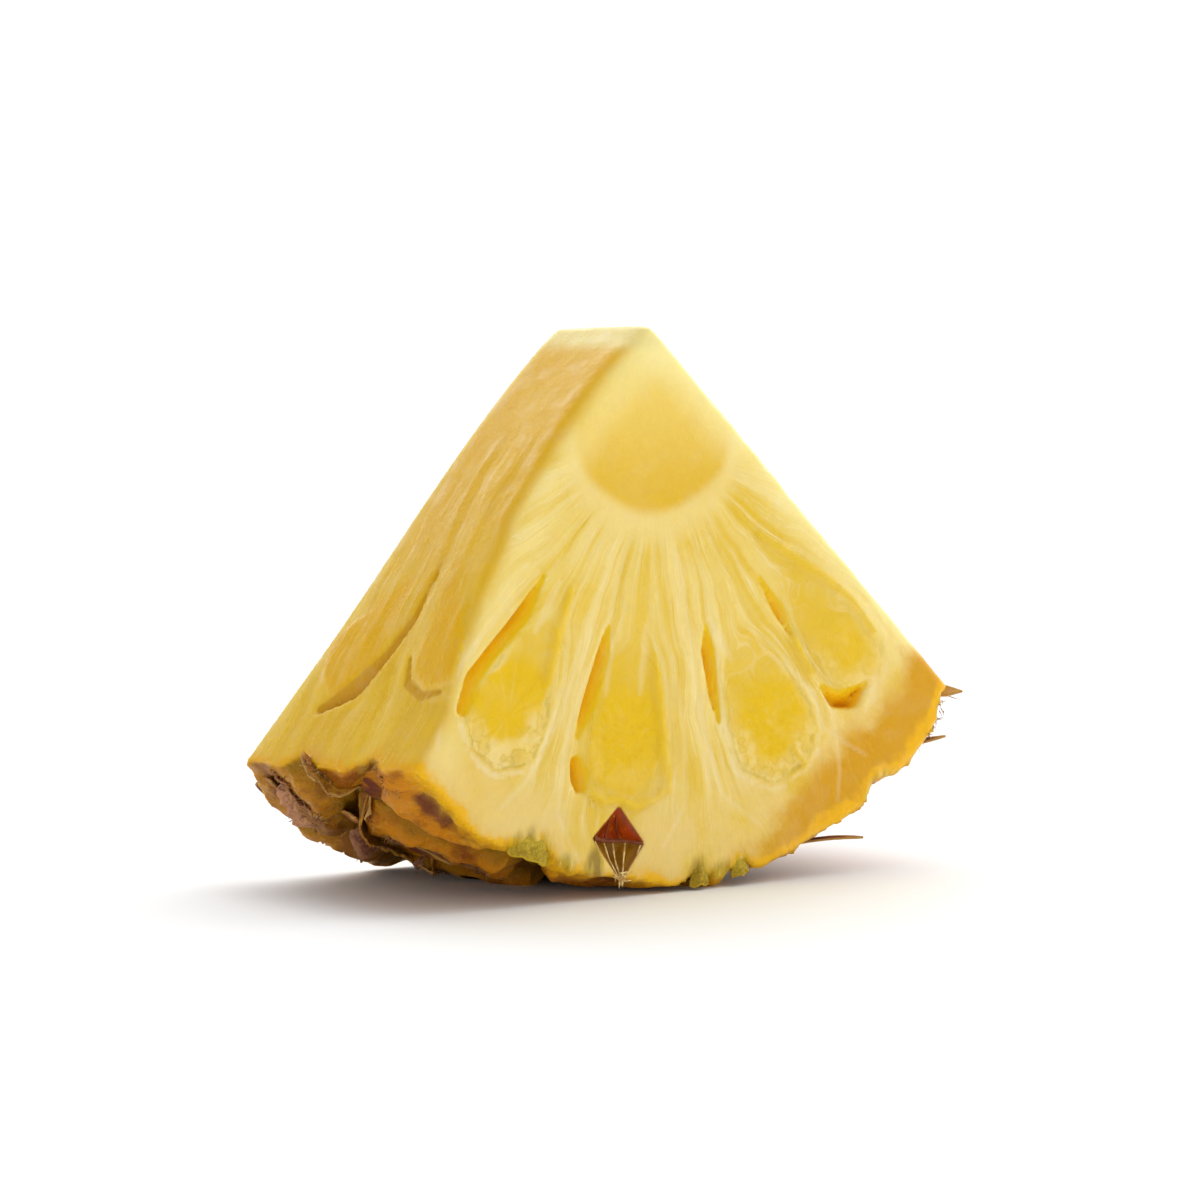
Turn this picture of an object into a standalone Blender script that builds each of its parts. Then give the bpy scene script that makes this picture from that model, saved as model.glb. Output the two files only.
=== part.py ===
"""Wedge of fresh pineapple, standing on its rind.

The wedge is cut from a slice of the fruit, as a knife would cut it: a block of rind and flesh is
made whole, with the eyes of the rind in relief and a dry bract on each. Flat cuts bound it at the
front, back, right, top and underneath, and a bowed one on the left. The gaps between the fruitlets,
and the cup under the eye that the front cut halves, are then taken out of the cut faces, and a few
bracts that the knife tore loose are added at the edges.

X runs along the front cut, Y along the fruit's axis with the front cut facing -Y, and Z is up. The
origin is in the middle of the spot that the wedge rests on.
"""

import math
import random

import bmesh
import bpy
import numpy as np
from mathutils import Matrix, Vector

MM = 0.001

# Where the wedge stands, in millimetres.
FRONT_Y = -17.0  # the front cut
CORE_X = -5.4  # the core's centre, left of the rind's own centre
CORE_Z = 61.0  # the core's centre above the resting surface
RIND_Z = 59.2  # the rind's own centre above the resting surface

# The rind: a barrel round the fruit's axis.
RIND_RADIUS = 58.5  # over the eyes, at the front cut
RIND_LIP = 1.0  # how much the rind draws in at the front cut
RIND_LIP_DEPTH = 8.0
RIND_SWELL = 0.025  # growth of the radius for each millimetre of depth, twice that on the left
LEFT_BULGE = (1.6, -37.0, 8.0)  # bulge at the lower left: its height, place and width along the arc
RIND_HALF_ARC = 62.0  # half of the arc that is made before the side cuts, along the rind
ROOF_Z = 84.0  # height of the uncut block
ROOF_HALF_WIDTH = 58.0
SLICE_DEPTHS = (-3.0, 50.0)  # front and back of the uncut block, from the front cut
RIND_STEP = 1.15  # spacing of the rind's points

# The eyes stand where two sets of spirals cross: steps of arc and depth from eye to eye.
FIRST_EYE = (-11.8, 0.0)
STEEP_STEP = (-15.4, 16.0)
FLAT_STEP = (13.8, 12.8)
EYE_REACH = 6  # how many steps are taken each way
EYE_SPREAD = 0.0387  # right of the first eye they grow wider, by this times the arc to the power
EYE_SPREAD_POWER = 1.5
EYE_CLIMB = 0.07  # and their rows lean to the back
EYE_JITTER = 2.2
JITTER_SEED = 600

# Relief of one eye: a plate between grooves, with a dimple in its middle and creases round it.
GROOVE_DEPTH = 3.4
GROOVE_WIDTH = 3.4
DIMPLE_DEPTH = 1.5
DIMPLE_RADIUS = 3.6
SCALE_TILT = 0.09  # each eye lifts towards the front, as scales overlap
CREASE_DEPTH = 0.35
CREASES = 6

# Dry bracts, one on each eye: they are rooted behind it and point to the front.
BRACT_ROOT = 6.5  # depth of the root behind the eye's centre
BRACT_LENGTH = 11.0
BRACT_WIDTH = 8.5
BRACT_THICKNESS = 1.1
BRACT_LIFT = 1.7
BRACT_SUNK = 1.0
BRACT_CURL = 1.6  # over 1, the bract curls up towards its tip
BRACT_TAPER = 0.7  # under 1, it keeps its width before it narrows
BRACT_RINGS = 6

# Bracts torn loose at the edges, each from root to tip as (arc, depth, height over the eyes),
# with the width at the root.
LOOSE_BRACTS = {
    "low_right": ((21.6, 6.5, 0.0), (30.2, 1.0, 4.1), 3.2),
    "right": ((41.5, 5.5, -0.8), (48.6, 1.0, 3.2), 3.0),
    "right_edge": ((49.0, 8.0, -4.6), (54.6, 0.4, 1.4), 6.5),
    "left_edge": ((-42.5, 17.0, -2.2), (-46.4, 1.5, 0.2), 7.5),
    "left_middle": ((-34.0, 31.0, -2.2), (-41.0, 17.0, 1.1), 8.0),
    "left_corner": ((-39.0, 43.0, -2.5), (-45.6, 31.5, 0.7), 7.0),
    "under_left": ((-17.0, 38.0, -1.2), (-21.5, 25.0, 1.8), 8.0),
}

# The cuts. A side cut is given by its angle from upright, its distance from the core's axis and
# its turn from the fruit's axis. The left one bows out along the front edge.
LEFT_CUT = (32.9, 8.64, 0.0)
RIGHT_CUT = (46.0, 8.97, 2.8)
LEFT_BOW = 4.4  # most that the left cut stands out of its plane
LEFT_BOW_SPAN = (-8.0, 47.0)  # where the bow starts and ends, down the cut from the core's level
LEFT_BOW_DEPTH = 32.0  # depth at which the bow has died away
BACK_DEPTH_AT_TOP = 19.0  # thickness of the wedge where its top is
BACK_LEAN = 0.33  # growth of the thickness for each millimetre down
TOP_OVER_CORE = 12.5  # height of the top over the core's axis
TOP_ASIDE = -1.7  # the top is that far left of the core
TOP_CUT_TILT = 36.0  # the narrow top faces up and to the left
BLOCK_HALF_SIZE = 150.0
WASTE_ALONG = (-40.0, 90.0)  # reach of what the left cut takes off, down it
WASTE_DEPTHS = (-8.0, 56.0)
WASTE_THICKNESS = 60.0
WASTE_STEPS = 17

# Gaps beside the fruitlets in the front cut: (angle from straight down, distance from the core's
# centre, width) along each gap, and its depth.
FRONT_GAPS = {
    "first_left": ([(-43.0, 25.6, 0.3), (-41.6, 31.4, 1.8), (-43.0, 38.6, 0.8),
                    (-42.5, 43.6, 1.4), (-40.8, 46.7, 1.2)], 4.5),
    "first_right": ([(-33.3, 24.8, 0.3), (-30.9, 30.2, 1.0), (-28.1, 36.7, 0.4)], 3.0),
    "second_left": ([(-15.9, 26.7, 0.3), (-15.7, 30.4, 1.6), (-16.7, 36.5, 1.9),
                     (-17.6, 41.7, 0.5)], 5.0),
    "second_hole": ([(-16.4, 44.4, 1.6), (-15.2, 46.4, 2.7), (-14.4, 47.8, 1.4)], 4.0),
    "second_right": ([(-0.4, 29.7, 0.3), (1.3, 36.1, 0.8), (2.2, 47.3, 0.8)], 2.5),
    "third_left": ([(17.9, 28.0, 0.4), (16.7, 31.0, 1.6), (15.5, 36.3, 1.1),
                    (15.2, 41.1, 0.3)], 4.5),
    "third_right": ([(29.2, 31.2, 0.3), (33.7, 42.3, 0.9), (32.8, 48.4, 0.8),
                     (23.5, 51.9, 0.3)], 1.2),
    "fourth_left": ([(40.4, 26.7, 0.4), (40.0, 32.4, 1.4), (39.0, 36.3, 0.9),
                     (38.3, 42.3, 0.4)], 4.0),
    "fourth_hole": ([(38.6, 45.2, 0.6), (39.4, 48.8, 2.4), (42.0, 50.2, 2.8),
                     (45.1, 50.9, 0.8)], 4.5),
}

# Gaps in the side cuts: (depth from the front cut, way down the cut from the core's level, width)
# along each, and its depth. Those of the back cut are one gap, repeated at each angle.
LEFT_GAPS = {
    "deep": ([(13.2, 28.0, 0.4), (14.2, 35.6, 1.4), (17.3, 41.0, 2.6), (21.5, 46.0, 3.8),
              (27.0, 49.5, 1.4)], 4.0),
    "shallow": ([(11.5, 41.3, 0.5), (10.2, 44.6, 1.2), (6.4, 46.0, 1.1), (2.6, 45.1, 0.4)], 1.6),
}
RIGHT_GAPS = {
    "near": ([(9.0, 28.0, 0.4), (8.2, 35.5, 1.8), (9.6, 42.5, 1.2), (12.0, 46.0, 0.5)], 4.0),
    "far": ([(25.5, 32.0, 0.4), (25.0, 39.0, 1.5), (22.6, 46.0, 2.6), (19.0, 48.5, 0.8)], 3.5),
}
BACK_GAP_ANGLES = (-31.0, -12.0, 9.0, 27.0, 44.0)
BACK_GAP = ([(0.0, 29.0, 0.4), (1.2, 35.0, 1.7), (0.2, 40.5, 1.3), (-1.6, 45.0, 0.4)], 4.5)

GAP_FLOOR_SHARE = 0.3  # width of a gap at its floor, against its width at the cut
GAP_STEPS = 2  # points added between two given ones
OVER_CUT = 1.5  # how far each cutter stands out of the face

# The flower cup of the eye that the front cut halves, as (angle, distance from the core's centre).
CUP_CORNERS = [(-6.4, 49.3), (-1.5, 54.1), (-5.2, 58.0), (-10.8, 53.4)]
CUP_DEPTH = 4.5

FLESH_COLOUR = (0.80, 0.55, 0.12, 1.0)
FLESH_ROUGHNESS = 0.35
SMOOTH_ANGLE = 40.0


def clear_scene():
    for old in list(bpy.data.objects):
        bpy.data.objects.remove(old, do_unlink=True)


def smooth(value):
    """Eased step from 0 to 1."""
    value = min(max(value, 0.0), 1.0)
    return value * value * (3.0 - 2.0 * value)


def rind_radius(arc, depth):
    """Radius over the eyes: the barrel swells to the back, most of all on the left."""
    left = smooth(-(arc + 4.0) / 12.0)
    high, place, width = LEFT_BULGE
    bulge = high * math.exp(-((arc - place) / width) ** 2)
    lip = RIND_LIP * smooth(depth / RIND_LIP_DEPTH)
    return RIND_RADIUS + lip + RIND_SWELL * depth * (1.0 + left) + bulge


def rind_point(arc, depth, height):
    """Point over the rind in millimetres, from its place along the arc, its depth and its height."""
    radius = rind_radius(arc, depth)
    turn = arc / RIND_RADIUS
    return Vector((
        (radius + height) * math.sin(turn),
        FRONT_Y + depth,
        RIND_Z - (radius + height) * math.cos(turn),
    ))


def front_point(angle, distance, depth):
    """Point in the front cut's own terms: angle from straight down and distance from the core."""
    turn = math.radians(angle)
    return Vector((
        CORE_X + distance * math.sin(turn),
        FRONT_Y + depth,
        CORE_Z - distance * math.cos(turn),
    ))


def back_depth(z):
    """Depth of the leaning back cut at a height over the resting surface."""
    return BACK_DEPTH_AT_TOP + BACK_LEAN * (CORE_Z + TOP_OVER_CORE - z)


def back_point(angle, distance, sunk):
    """Point in the back cut, in the front cut's terms, sunk under the cut."""
    point = front_point(angle, distance, 0.0)
    point.y = FRONT_Y + back_depth(point.z) - sunk
    return point


def left_bow(along, depth):
    """How far the left cut stands out of its plane."""
    top, foot = LEFT_BOW_SPAN
    share = min(max((along - top) / (foot - top), 0.0), 1.0)
    fade = min(max(1.0 - depth / LEFT_BOW_DEPTH, 0.0), 1.0)
    return LEFT_BOW * 4.0 * share * (1.0 - share) * fade


def side_point(side, along, depth, sunk):
    """Point in a side cut, side being -1 for the left and 1 for the right one.

    along runs down the cut from the core's level, and sunk is the depth under the cut.
    """
    upright, offset, turned = LEFT_CUT if side < 0 else RIGHT_CUT
    lean = math.radians(upright)
    out = offset - sunk - depth * math.tan(math.radians(turned))
    if side < 0:
        out += left_bow(along, depth)
    return Vector((
        CORE_X + side * (along * math.sin(lean) + out * math.cos(lean)),
        FRONT_Y + depth,
        CORE_Z - along * math.cos(lean) + out * math.sin(lean),
    ))


def eye_centres():
    """Arc and depth of each eye's centre, from the two sets of spirals."""
    draw = random.Random(JITTER_SEED)
    centres = []
    for steep in range(-EYE_REACH, EYE_REACH + 1):
        for flat in range(-EYE_REACH, EYE_REACH + 1):
            arc = FIRST_EYE[0] + steep * STEEP_STEP[0] + flat * FLAT_STEP[0]
            depth = FIRST_EYE[1] + steep * STEEP_STEP[1] + flat * FLAT_STEP[1]
            beyond = max(arc - FIRST_EYE[0], 0.0)
            arc += EYE_SPREAD * beyond ** EYE_SPREAD_POWER
            depth += EYE_CLIMB * beyond
            arc += draw.uniform(-EYE_JITTER, EYE_JITTER)
            depth += draw.uniform(-EYE_JITTER, EYE_JITTER)
            centres.append((arc, depth))
    return np.array(centres)


def eye_relief(arc, depth, centres):
    """Height of the rind over its barrel: plates with grooves between them, each with a dimple."""
    gap = np.hypot(arc - centres[:, 0], depth - centres[:, 1])
    nearest, second = np.argsort(gap)[:2]
    apart = np.hypot(*(centres[nearest] - centres[second]))
    to_edge = (gap[second] ** 2 - gap[nearest] ** 2) / (2.0 * apart)
    across, along = arc - centres[nearest, 0], depth - centres[nearest, 1]
    dimple = math.exp(-(gap[nearest] / DIMPLE_RADIUS) ** 2)
    crease = 0.5 - 0.5 * math.cos(CREASES * math.atan2(across, along))
    height = GROOVE_DEPTH * (smooth(to_edge / GROOVE_WIDTH) - 1.0)
    height -= DIMPLE_DEPTH * dimple + CREASE_DEPTH * crease * (1.0 - dimple)
    return height - SCALE_TILT * along


def mesh_object(name, points, faces):
    """Mesh object from points in millimetres, of triangles that face outwards.

    The grids are curved, and a Boolean keeps only flat faces whole, so they are made triangles.
    """
    mesh = bpy.data.meshes.new(name)
    mesh.from_pydata([Vector(point) * MM for point in points], [], faces)
    shape = bmesh.new()
    shape.from_mesh(mesh)
    bmesh.ops.triangulate(shape, faces=shape.faces)
    bmesh.ops.recalc_face_normals(shape, faces=shape.faces)
    shape.to_mesh(mesh)
    shape.free()
    made = bpy.data.objects.new(name, mesh)
    bpy.context.scene.collection.objects.link(made)
    return made


def ring_faces(rings, around):
    """Faces of a tube of rings laid end to end, with both ends shut."""
    faces = [tuple(range(around)), tuple((rings - 1) * around + i for i in range(around))]
    for ring in range(rings - 1):
        for i in range(around):
            after = (i + 1) % around
            low, high = ring * around, (ring + 1) * around
            faces.append((low + i, low + after, high + after, high + i))
    return faces


def fruit_block(centres):
    """Flesh and rind before the cuts: the rind's relief below and a plain roof above."""
    arcs = np.linspace(-RIND_HALF_ARC, RIND_HALF_ARC, round(2 * RIND_HALF_ARC / RIND_STEP) + 1)
    span = SLICE_DEPTHS[1] - SLICE_DEPTHS[0]
    depths = np.linspace(*SLICE_DEPTHS, round(span / RIND_STEP) + 1)
    points = []
    for depth in depths:
        for arc in arcs:
            points.append(rind_point(arc, depth, eye_relief(arc, depth, centres)))
        points.append((ROOF_HALF_WIDTH, FRONT_Y + depth, ROOF_Z))
        points.append((-ROOF_HALF_WIDTH, FRONT_Y + depth, ROOF_Z))
    return mesh_object("pineapple_wedge", points, ring_faces(len(depths), len(arcs) + 2))


def bract(name, root, tip, width):
    """Dry pointed bract over the rind: root and tip are (arc, depth, height), its back is arched."""
    root, tip = Vector(root), Vector(tip)
    run = tip - root
    aside = Vector((run.y, -run.x, 0.0)).normalized()
    points = []
    for ring in range(BRACT_RINGS):
        share = ring / BRACT_RINGS
        middle = root + run * share
        middle.z = root.z + run.z * share ** BRACT_CURL
        half = 0.5 * width * (1.0 - share) ** BRACT_TAPER
        thick = 0.5 * BRACT_THICKNESS * (1.0 - 0.5 * share)
        points.append(middle + aside * half)
        points.append(middle + Vector((0.0, 0.0, thick)))
        points.append(middle - aside * half)
        points.append(middle - Vector((0.0, 0.0, thick + BRACT_SUNK * (1.0 - share))))
    faces = ring_faces(BRACT_RINGS, 4)
    last = 4 * (BRACT_RINGS - 1)
    faces.remove(tuple(range(last, last + 4)))
    points.append(tip)
    faces += [(last + i, last + (i + 1) % 4, last + 4) for i in range(4)]
    return mesh_object(name, [rind_point(*point) for point in points], faces)


def eye_bracts(centres):
    """One bract on each eye within reach of the wedge."""
    bracts = []
    for number, (arc, depth) in enumerate(centres):
        inside = abs(arc) < RIND_HALF_ARC - BRACT_WIDTH
        inside = inside and SLICE_DEPTHS[0] < depth < SLICE_DEPTHS[1]
        if not inside:
            continue
        root = (arc, depth + BRACT_ROOT, -BRACT_SUNK)
        tip = (arc, depth + BRACT_ROOT - BRACT_LENGTH, BRACT_LIFT)
        bracts.append(bract(f"bract_{number}", root, tip, BRACT_WIDTH))
    return bracts


def loose_bracts():
    """The bracts torn loose at the wedge's edges."""
    return [
        bract(f"bract_{name}", root, tip, width)
        for name, (root, tip, width) in LOOSE_BRACTS.items()
    ]


def cut_planes():
    """Each flat cut as (point on it, direction that points out of the wedge)."""
    core = Vector((CORE_X, FRONT_Y, CORE_Z))
    upright, _, turned = RIGHT_CUT
    lean, turn = math.radians(upright), math.radians(turned)
    right = Vector((math.cos(lean), math.tan(turn), math.sin(lean))).normalized()
    tilt = math.radians(TOP_CUT_TILT)
    top = core + Vector((TOP_ASIDE, 0.0, TOP_OVER_CORE))
    back = Vector((0.0, FRONT_Y + back_depth(CORE_Z), CORE_Z))
    return [
        (side_point(1, 0.0, 0.0, 0.0), right),
        (top, Vector((-math.sin(tilt), 0.0, math.cos(tilt)))),
        (back, Vector((0.0, 1.0, BACK_LEAN)).normalized()),
        (core, Vector((0.0, -1.0, 0.0))),
        (Vector((0.0, 0.0, 0.0)), Vector((0.0, 0.0, -1.0))),
    ]


def knife_block():
    """What the flat cuts leave: a box cut down to their planes."""
    shape = bmesh.new()
    bmesh.ops.create_cube(shape, size=2 * BLOCK_HALF_SIZE)
    for point, out in cut_planes():
        everything = shape.verts[:] + shape.edges[:] + shape.faces[:]
        cut = bmesh.ops.bisect_plane(
            shape, geom=everything, plane_co=point, plane_no=out, clear_outer=True
        )
        rim = [part for part in cut["geom_cut"] if isinstance(part, bmesh.types.BMEdge)]
        bmesh.ops.contextual_create(shape, geom=rim)
    bmesh.ops.recalc_face_normals(shape, faces=shape.faces)
    bmesh.ops.transform(shape, matrix=Matrix.Scale(MM, 4), verts=shape.verts)
    mesh = bpy.data.meshes.new("knife_block")
    shape.to_mesh(mesh)
    shape.free()
    made = bpy.data.objects.new("knife_block", mesh)
    bpy.context.scene.collection.objects.link(made)
    return made


def left_waste():
    """Cutter for the left cut, which isn't flat: its near side is the bowed surface."""
    alongs = np.linspace(*WASTE_ALONG, WASTE_STEPS)
    depths = np.linspace(*WASTE_DEPTHS, WASTE_STEPS)
    points = []
    for depth in depths:
        points += [side_point(-1, along, depth, 0.0) for along in alongs]
        points += [side_point(-1, along, depth, -WASTE_THICKNESS) for along in alongs[::-1]]
    return mesh_object("left_waste", points, ring_faces(len(depths), 2 * len(alongs)))


def rounded_line(points):
    """Smooth line through points of any number of values, with points added between them."""
    rows = [Vector(point) for point in points]
    line = []
    for i in range(len(rows) - 1):
        before, after = rows[max(i - 1, 0)], rows[min(i + 2, len(rows) - 1)]
        first, second = rows[i], rows[i + 1]
        for step in range(GAP_STEPS + 1):
            t = step / (GAP_STEPS + 1)
            line.append(0.5 * (
                2.0 * first + (second - before) * t
                + (2.0 * before - 5.0 * first + 4.0 * second - after) * t ** 2
                + (3.0 * first - before - 3.0 * second + after) * t ** 3
            ))
    return line + [rows[-1]]


def gap_cutter(name, given, depth, place):
    """Cutter for one gap: a thin lens round the given line, narrower towards its floor.

    place(first, second, sunk) turns the face's own two values and a depth into a point.
    """
    line = rounded_line(given)
    spots = [place(first, second, 0.0) for first, second, _ in line]
    out = (place(*given[0][:2], -1.0) - spots[0]).normalized()
    rim = []
    for side in (1, -1):
        order = range(len(line)) if side == 1 else reversed(range(len(line)))
        for i in order:
            ahead = spots[min(i + 1, len(spots) - 1)] - spots[max(i - 1, 0)]
            aside = ahead.cross(out).normalized()
            rim.append((spots[i], aside * side * 0.5 * line[i][2]))
    points = [spot + wide + out * OVER_CUT for spot, wide in rim]
    points += [spot + wide for spot, wide in rim]
    points += [spot + wide * GAP_FLOOR_SHARE - out * depth for spot, wide in rim]
    return mesh_object(name, points, ring_faces(3, len(rim)))


def cup_cutter():
    """Cutter for half of the flower cup: four corners that close to a point behind the cut."""
    corners = [front_point(angle, distance, 0.0) for angle, distance in CUP_CORNERS]
    bottom = sum(corners, Vector()) / len(corners) + Vector((0.0, CUP_DEPTH, 0.0))
    points = [corner - Vector((0.0, OVER_CUT, 0.0)) for corner in corners] + corners + [bottom]
    around = len(corners)
    faces = ring_faces(2, around)
    faces.remove(tuple(range(around, 2 * around)))
    faces += [(around + i, around + (i + 1) % around, 2 * around) for i in range(around)]
    return mesh_object("flower_cup", points, faces)


def all_cutters():
    """The gaps of every cut face, and the flower cup."""
    cutters = [cup_cutter()]
    for name, (line, depth) in FRONT_GAPS.items():
        cutters.append(gap_cutter(f"front_{name}", line, depth, front_point))
    for side, gaps in ((-1, LEFT_GAPS), (1, RIGHT_GAPS)):
        for name, (line, depth) in gaps.items():
            def place(back, along, sunk, side=side):
                return side_point(side, along, back, sunk)

            cutters.append(gap_cutter(f"side_{side}_{name}", line, depth, place))
    line, depth = BACK_GAP
    for number, angle in enumerate(BACK_GAP_ANGLES):
        turned = [(angle + along, distance, width) for along, distance, width in line]
        cutters.append(gap_cutter(f"back_{number}", turned, depth, back_point))
    return cutters


def combine(target, operation, tools):
    """Boolean of the target with a collection of tools, applied, and the tools removed.

    The exact solver leaves torn edges where thin bracts cross the rind, so MANIFOLD is used.
    """
    together = bpy.data.collections.new(operation.lower())
    bpy.context.scene.collection.children.link(together)
    for tool in tools:
        bpy.context.scene.collection.objects.unlink(tool)
        together.objects.link(tool)
        tool.hide_render = True
        tool.display_type = "WIRE"
    change = target.modifiers.new(operation.lower(), "BOOLEAN")
    change.operation = operation
    change.operand_type = "COLLECTION"
    change.collection = together
    change.solver = "MANIFOLD"
    bpy.context.view_layer.objects.active = target
    bpy.ops.object.modifier_apply(modifier=change.name)
    for tool in tools:
        bpy.data.objects.remove(tool, do_unlink=True)
    bpy.data.collections.remove(together)


def linked_pieces(shape):
    """The separate bodies of a mesh, each as a set of its points."""
    waiting = set(shape.verts)
    pieces = []
    while waiting:
        reached = {waiting.pop()}
        edge_of_reach = list(reached)
        while edge_of_reach:
            point = edge_of_reach.pop()
            found = {edge.other_vert(point) for edge in point.link_edges} - reached
            reached |= found
            edge_of_reach.extend(found)
        waiting -= reached
        pieces.append(reached)
    return pieces


def drop_scraps(target):
    """Removes the bits of bract that the cuts leave loose."""
    shape = bmesh.new()
    shape.from_mesh(target.data)
    pieces = sorted(linked_pieces(shape), key=len)
    for piece in pieces[:-1]:
        bmesh.ops.delete(shape, geom=list(piece), context="VERTS")
    shape.to_mesh(target.data)
    shape.free()


def flesh_material():
    material = bpy.data.materials.new("pineapple_flesh")
    material.use_nodes = True
    shader = material.node_tree.nodes["Principled BSDF"]
    shader.inputs["Base Color"].default_value = FLESH_COLOUR
    shader.inputs["Roughness"].default_value = FLESH_ROUGHNESS
    shader.inputs["Metallic"].default_value = 0.0
    return material


def build_wedge():
    centres = eye_centres()
    wedge = fruit_block(centres)
    combine(wedge, "UNION", eye_bracts(centres))
    combine(wedge, "INTERSECT", [knife_block()])
    combine(wedge, "DIFFERENCE", [left_waste()])
    combine(wedge, "DIFFERENCE", all_cutters())
    combine(wedge, "UNION", loose_bracts())
    drop_scraps(wedge)
    wedge.data.materials.clear()
    wedge.data.materials.append(flesh_material())
    wedge.data.shade_smooth()
    wedge.data.set_sharp_from_angle(angle=math.radians(SMOOTH_ANGLE))
    return wedge


clear_scene()
build_wedge()
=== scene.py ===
"""Looks of a fresh pineapple wedge: wet flesh with a golden core, fibres and fruitlets, leathery rind
plates with grooves, dry bracts, and the cut flower cup, on a plain studio stage.

The wedge's body is grown as a volume from the same sizes as its solid, and turned into one fine
mesh. Its values for colour are distances in millimetres, kept at each point of the mesh, from which
the material draws edges that are finer than the mesh. Everything is worked out in millimetres in
the solid's own frame: X runs along the front cut, Y along the fruit's axis with the front cut
facing -Y, and Z is up.
"""

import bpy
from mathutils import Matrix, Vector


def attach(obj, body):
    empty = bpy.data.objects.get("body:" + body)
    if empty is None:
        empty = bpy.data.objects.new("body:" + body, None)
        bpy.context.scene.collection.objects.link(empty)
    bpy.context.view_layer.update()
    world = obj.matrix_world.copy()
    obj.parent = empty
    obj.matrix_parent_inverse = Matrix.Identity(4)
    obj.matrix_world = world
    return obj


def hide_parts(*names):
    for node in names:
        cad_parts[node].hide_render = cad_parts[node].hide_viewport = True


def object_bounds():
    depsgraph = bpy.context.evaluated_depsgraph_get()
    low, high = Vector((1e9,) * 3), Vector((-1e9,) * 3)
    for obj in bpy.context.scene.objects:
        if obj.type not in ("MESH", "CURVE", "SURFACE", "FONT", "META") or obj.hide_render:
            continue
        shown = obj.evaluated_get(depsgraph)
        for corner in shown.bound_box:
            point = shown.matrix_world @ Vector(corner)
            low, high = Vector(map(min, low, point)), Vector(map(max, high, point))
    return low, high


bl_info = {
    "name": "Pineapple wedge",
    "version": (1, 0, 0),
    "blender": (4, 5, 0),
    "location": "View3D > Sidebar > Pineapple",
    "description": "Makes the flesh, the rind and the dry bracts of a pineapple wedge",
    "category": "Add Mesh",
}

import math
import random

import bpy
import numpy as np
import openvdb
from mathutils import Matrix, Vector, noise

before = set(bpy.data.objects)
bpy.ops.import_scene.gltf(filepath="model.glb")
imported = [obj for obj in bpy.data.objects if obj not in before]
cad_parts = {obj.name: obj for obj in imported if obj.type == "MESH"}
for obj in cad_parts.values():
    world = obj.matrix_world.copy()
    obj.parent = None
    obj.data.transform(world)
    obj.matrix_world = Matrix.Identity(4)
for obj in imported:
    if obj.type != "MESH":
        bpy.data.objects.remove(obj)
CAD_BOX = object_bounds()
MM = 0.001

# Where the wedge stands and how it is cut, as its solid has it.
FRONT_Y = -17.0  # the front cut
CORE_X = -5.4  # the core's centre
CORE_Z = 61.0
RIND_Z = 59.2  # the rind's own centre
RIND_RADIUS = 58.5
RIND_LIP = 1.0  # how much the rind widens just behind the front cut, and how far in that ends
RIND_LIP_DEPTH = 8.0
RIND_SWELL = 0.025  # how much it widens for each millimetre of depth
LEFT_SWELL = (-4.0, -16.0)  # from where to where along the arc that doubles
LEFT_BULGE = (1.6, -37.0, 8.0)  # height, arc and width of the bulge on the left
LEFT_CUT = (32.9, 8.64, 0.0)  # lean from upright, distance from the core, turn inwards behind
RIGHT_CUT = (46.0, 8.97, 2.8)
LEFT_BOW = 4.4  # how far the left cut bows out
LEFT_BOW_SPAN = (-8.0, 47.0)  # from where to where down the cut
LEFT_BOW_DEPTH = 32.0  # where it has faded out
BACK_DEPTH_AT_TOP = 19.0
BACK_LEAN = 0.33  # how much deeper the back cut is for each millimetre down
TOP_OVER_CORE = 12.5
TOP_ASIDE = -1.7
TOP_CUT_TILT = 36.0
HOLLOW_ROUND = 0.3  # rounding of the edges round gaps and flower cup
CUT_FACES = ("front", "left", "right", "top", "back")

# The eyes of the rind as (arc, depth), where two sets of spirals cross, and their relief.
FIRST_EYE = (-11.8, 0.0)
STEEP_STEP = (-15.4, 16.0)
FLAT_STEP = (13.8, 12.8)
EYE_REACH = 6  # steps each way from the first eye
EYE_SPREAD = 0.0387  # how the eyes spread and climb on its right
EYE_SPREAD_POWER = 1.5
EYE_CLIMB = 0.07
EYE_JITTER = 2.2
JITTER_SEED = 600
DIMPLE_DEPTH = 1.5
DIMPLE_RADIUS = 3.6
SCALE_TILT = 0.09  # how much a plate rises for each millimetre towards the front
CREASE_DEPTH = 0.35
CREASES = 6  # round each eye
SKIN_TAUT = (0.45, 5.0)  # share of the relief that is left at a cut, and how far in it is whole
FOLD_HEIGHT = 0.4  # fold round each plate, inside its groove
FOLD_PLACE = 3.8
FOLD_WIDTH = 1.2
CRACK_DEPTH = 0.35
CRACK_WIDTH = 0.08  # how far the noise is from its middle where a crack ends
FOOT = (0.15, 1.2)  # heights over the floor between which the fine relief sets in

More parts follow.
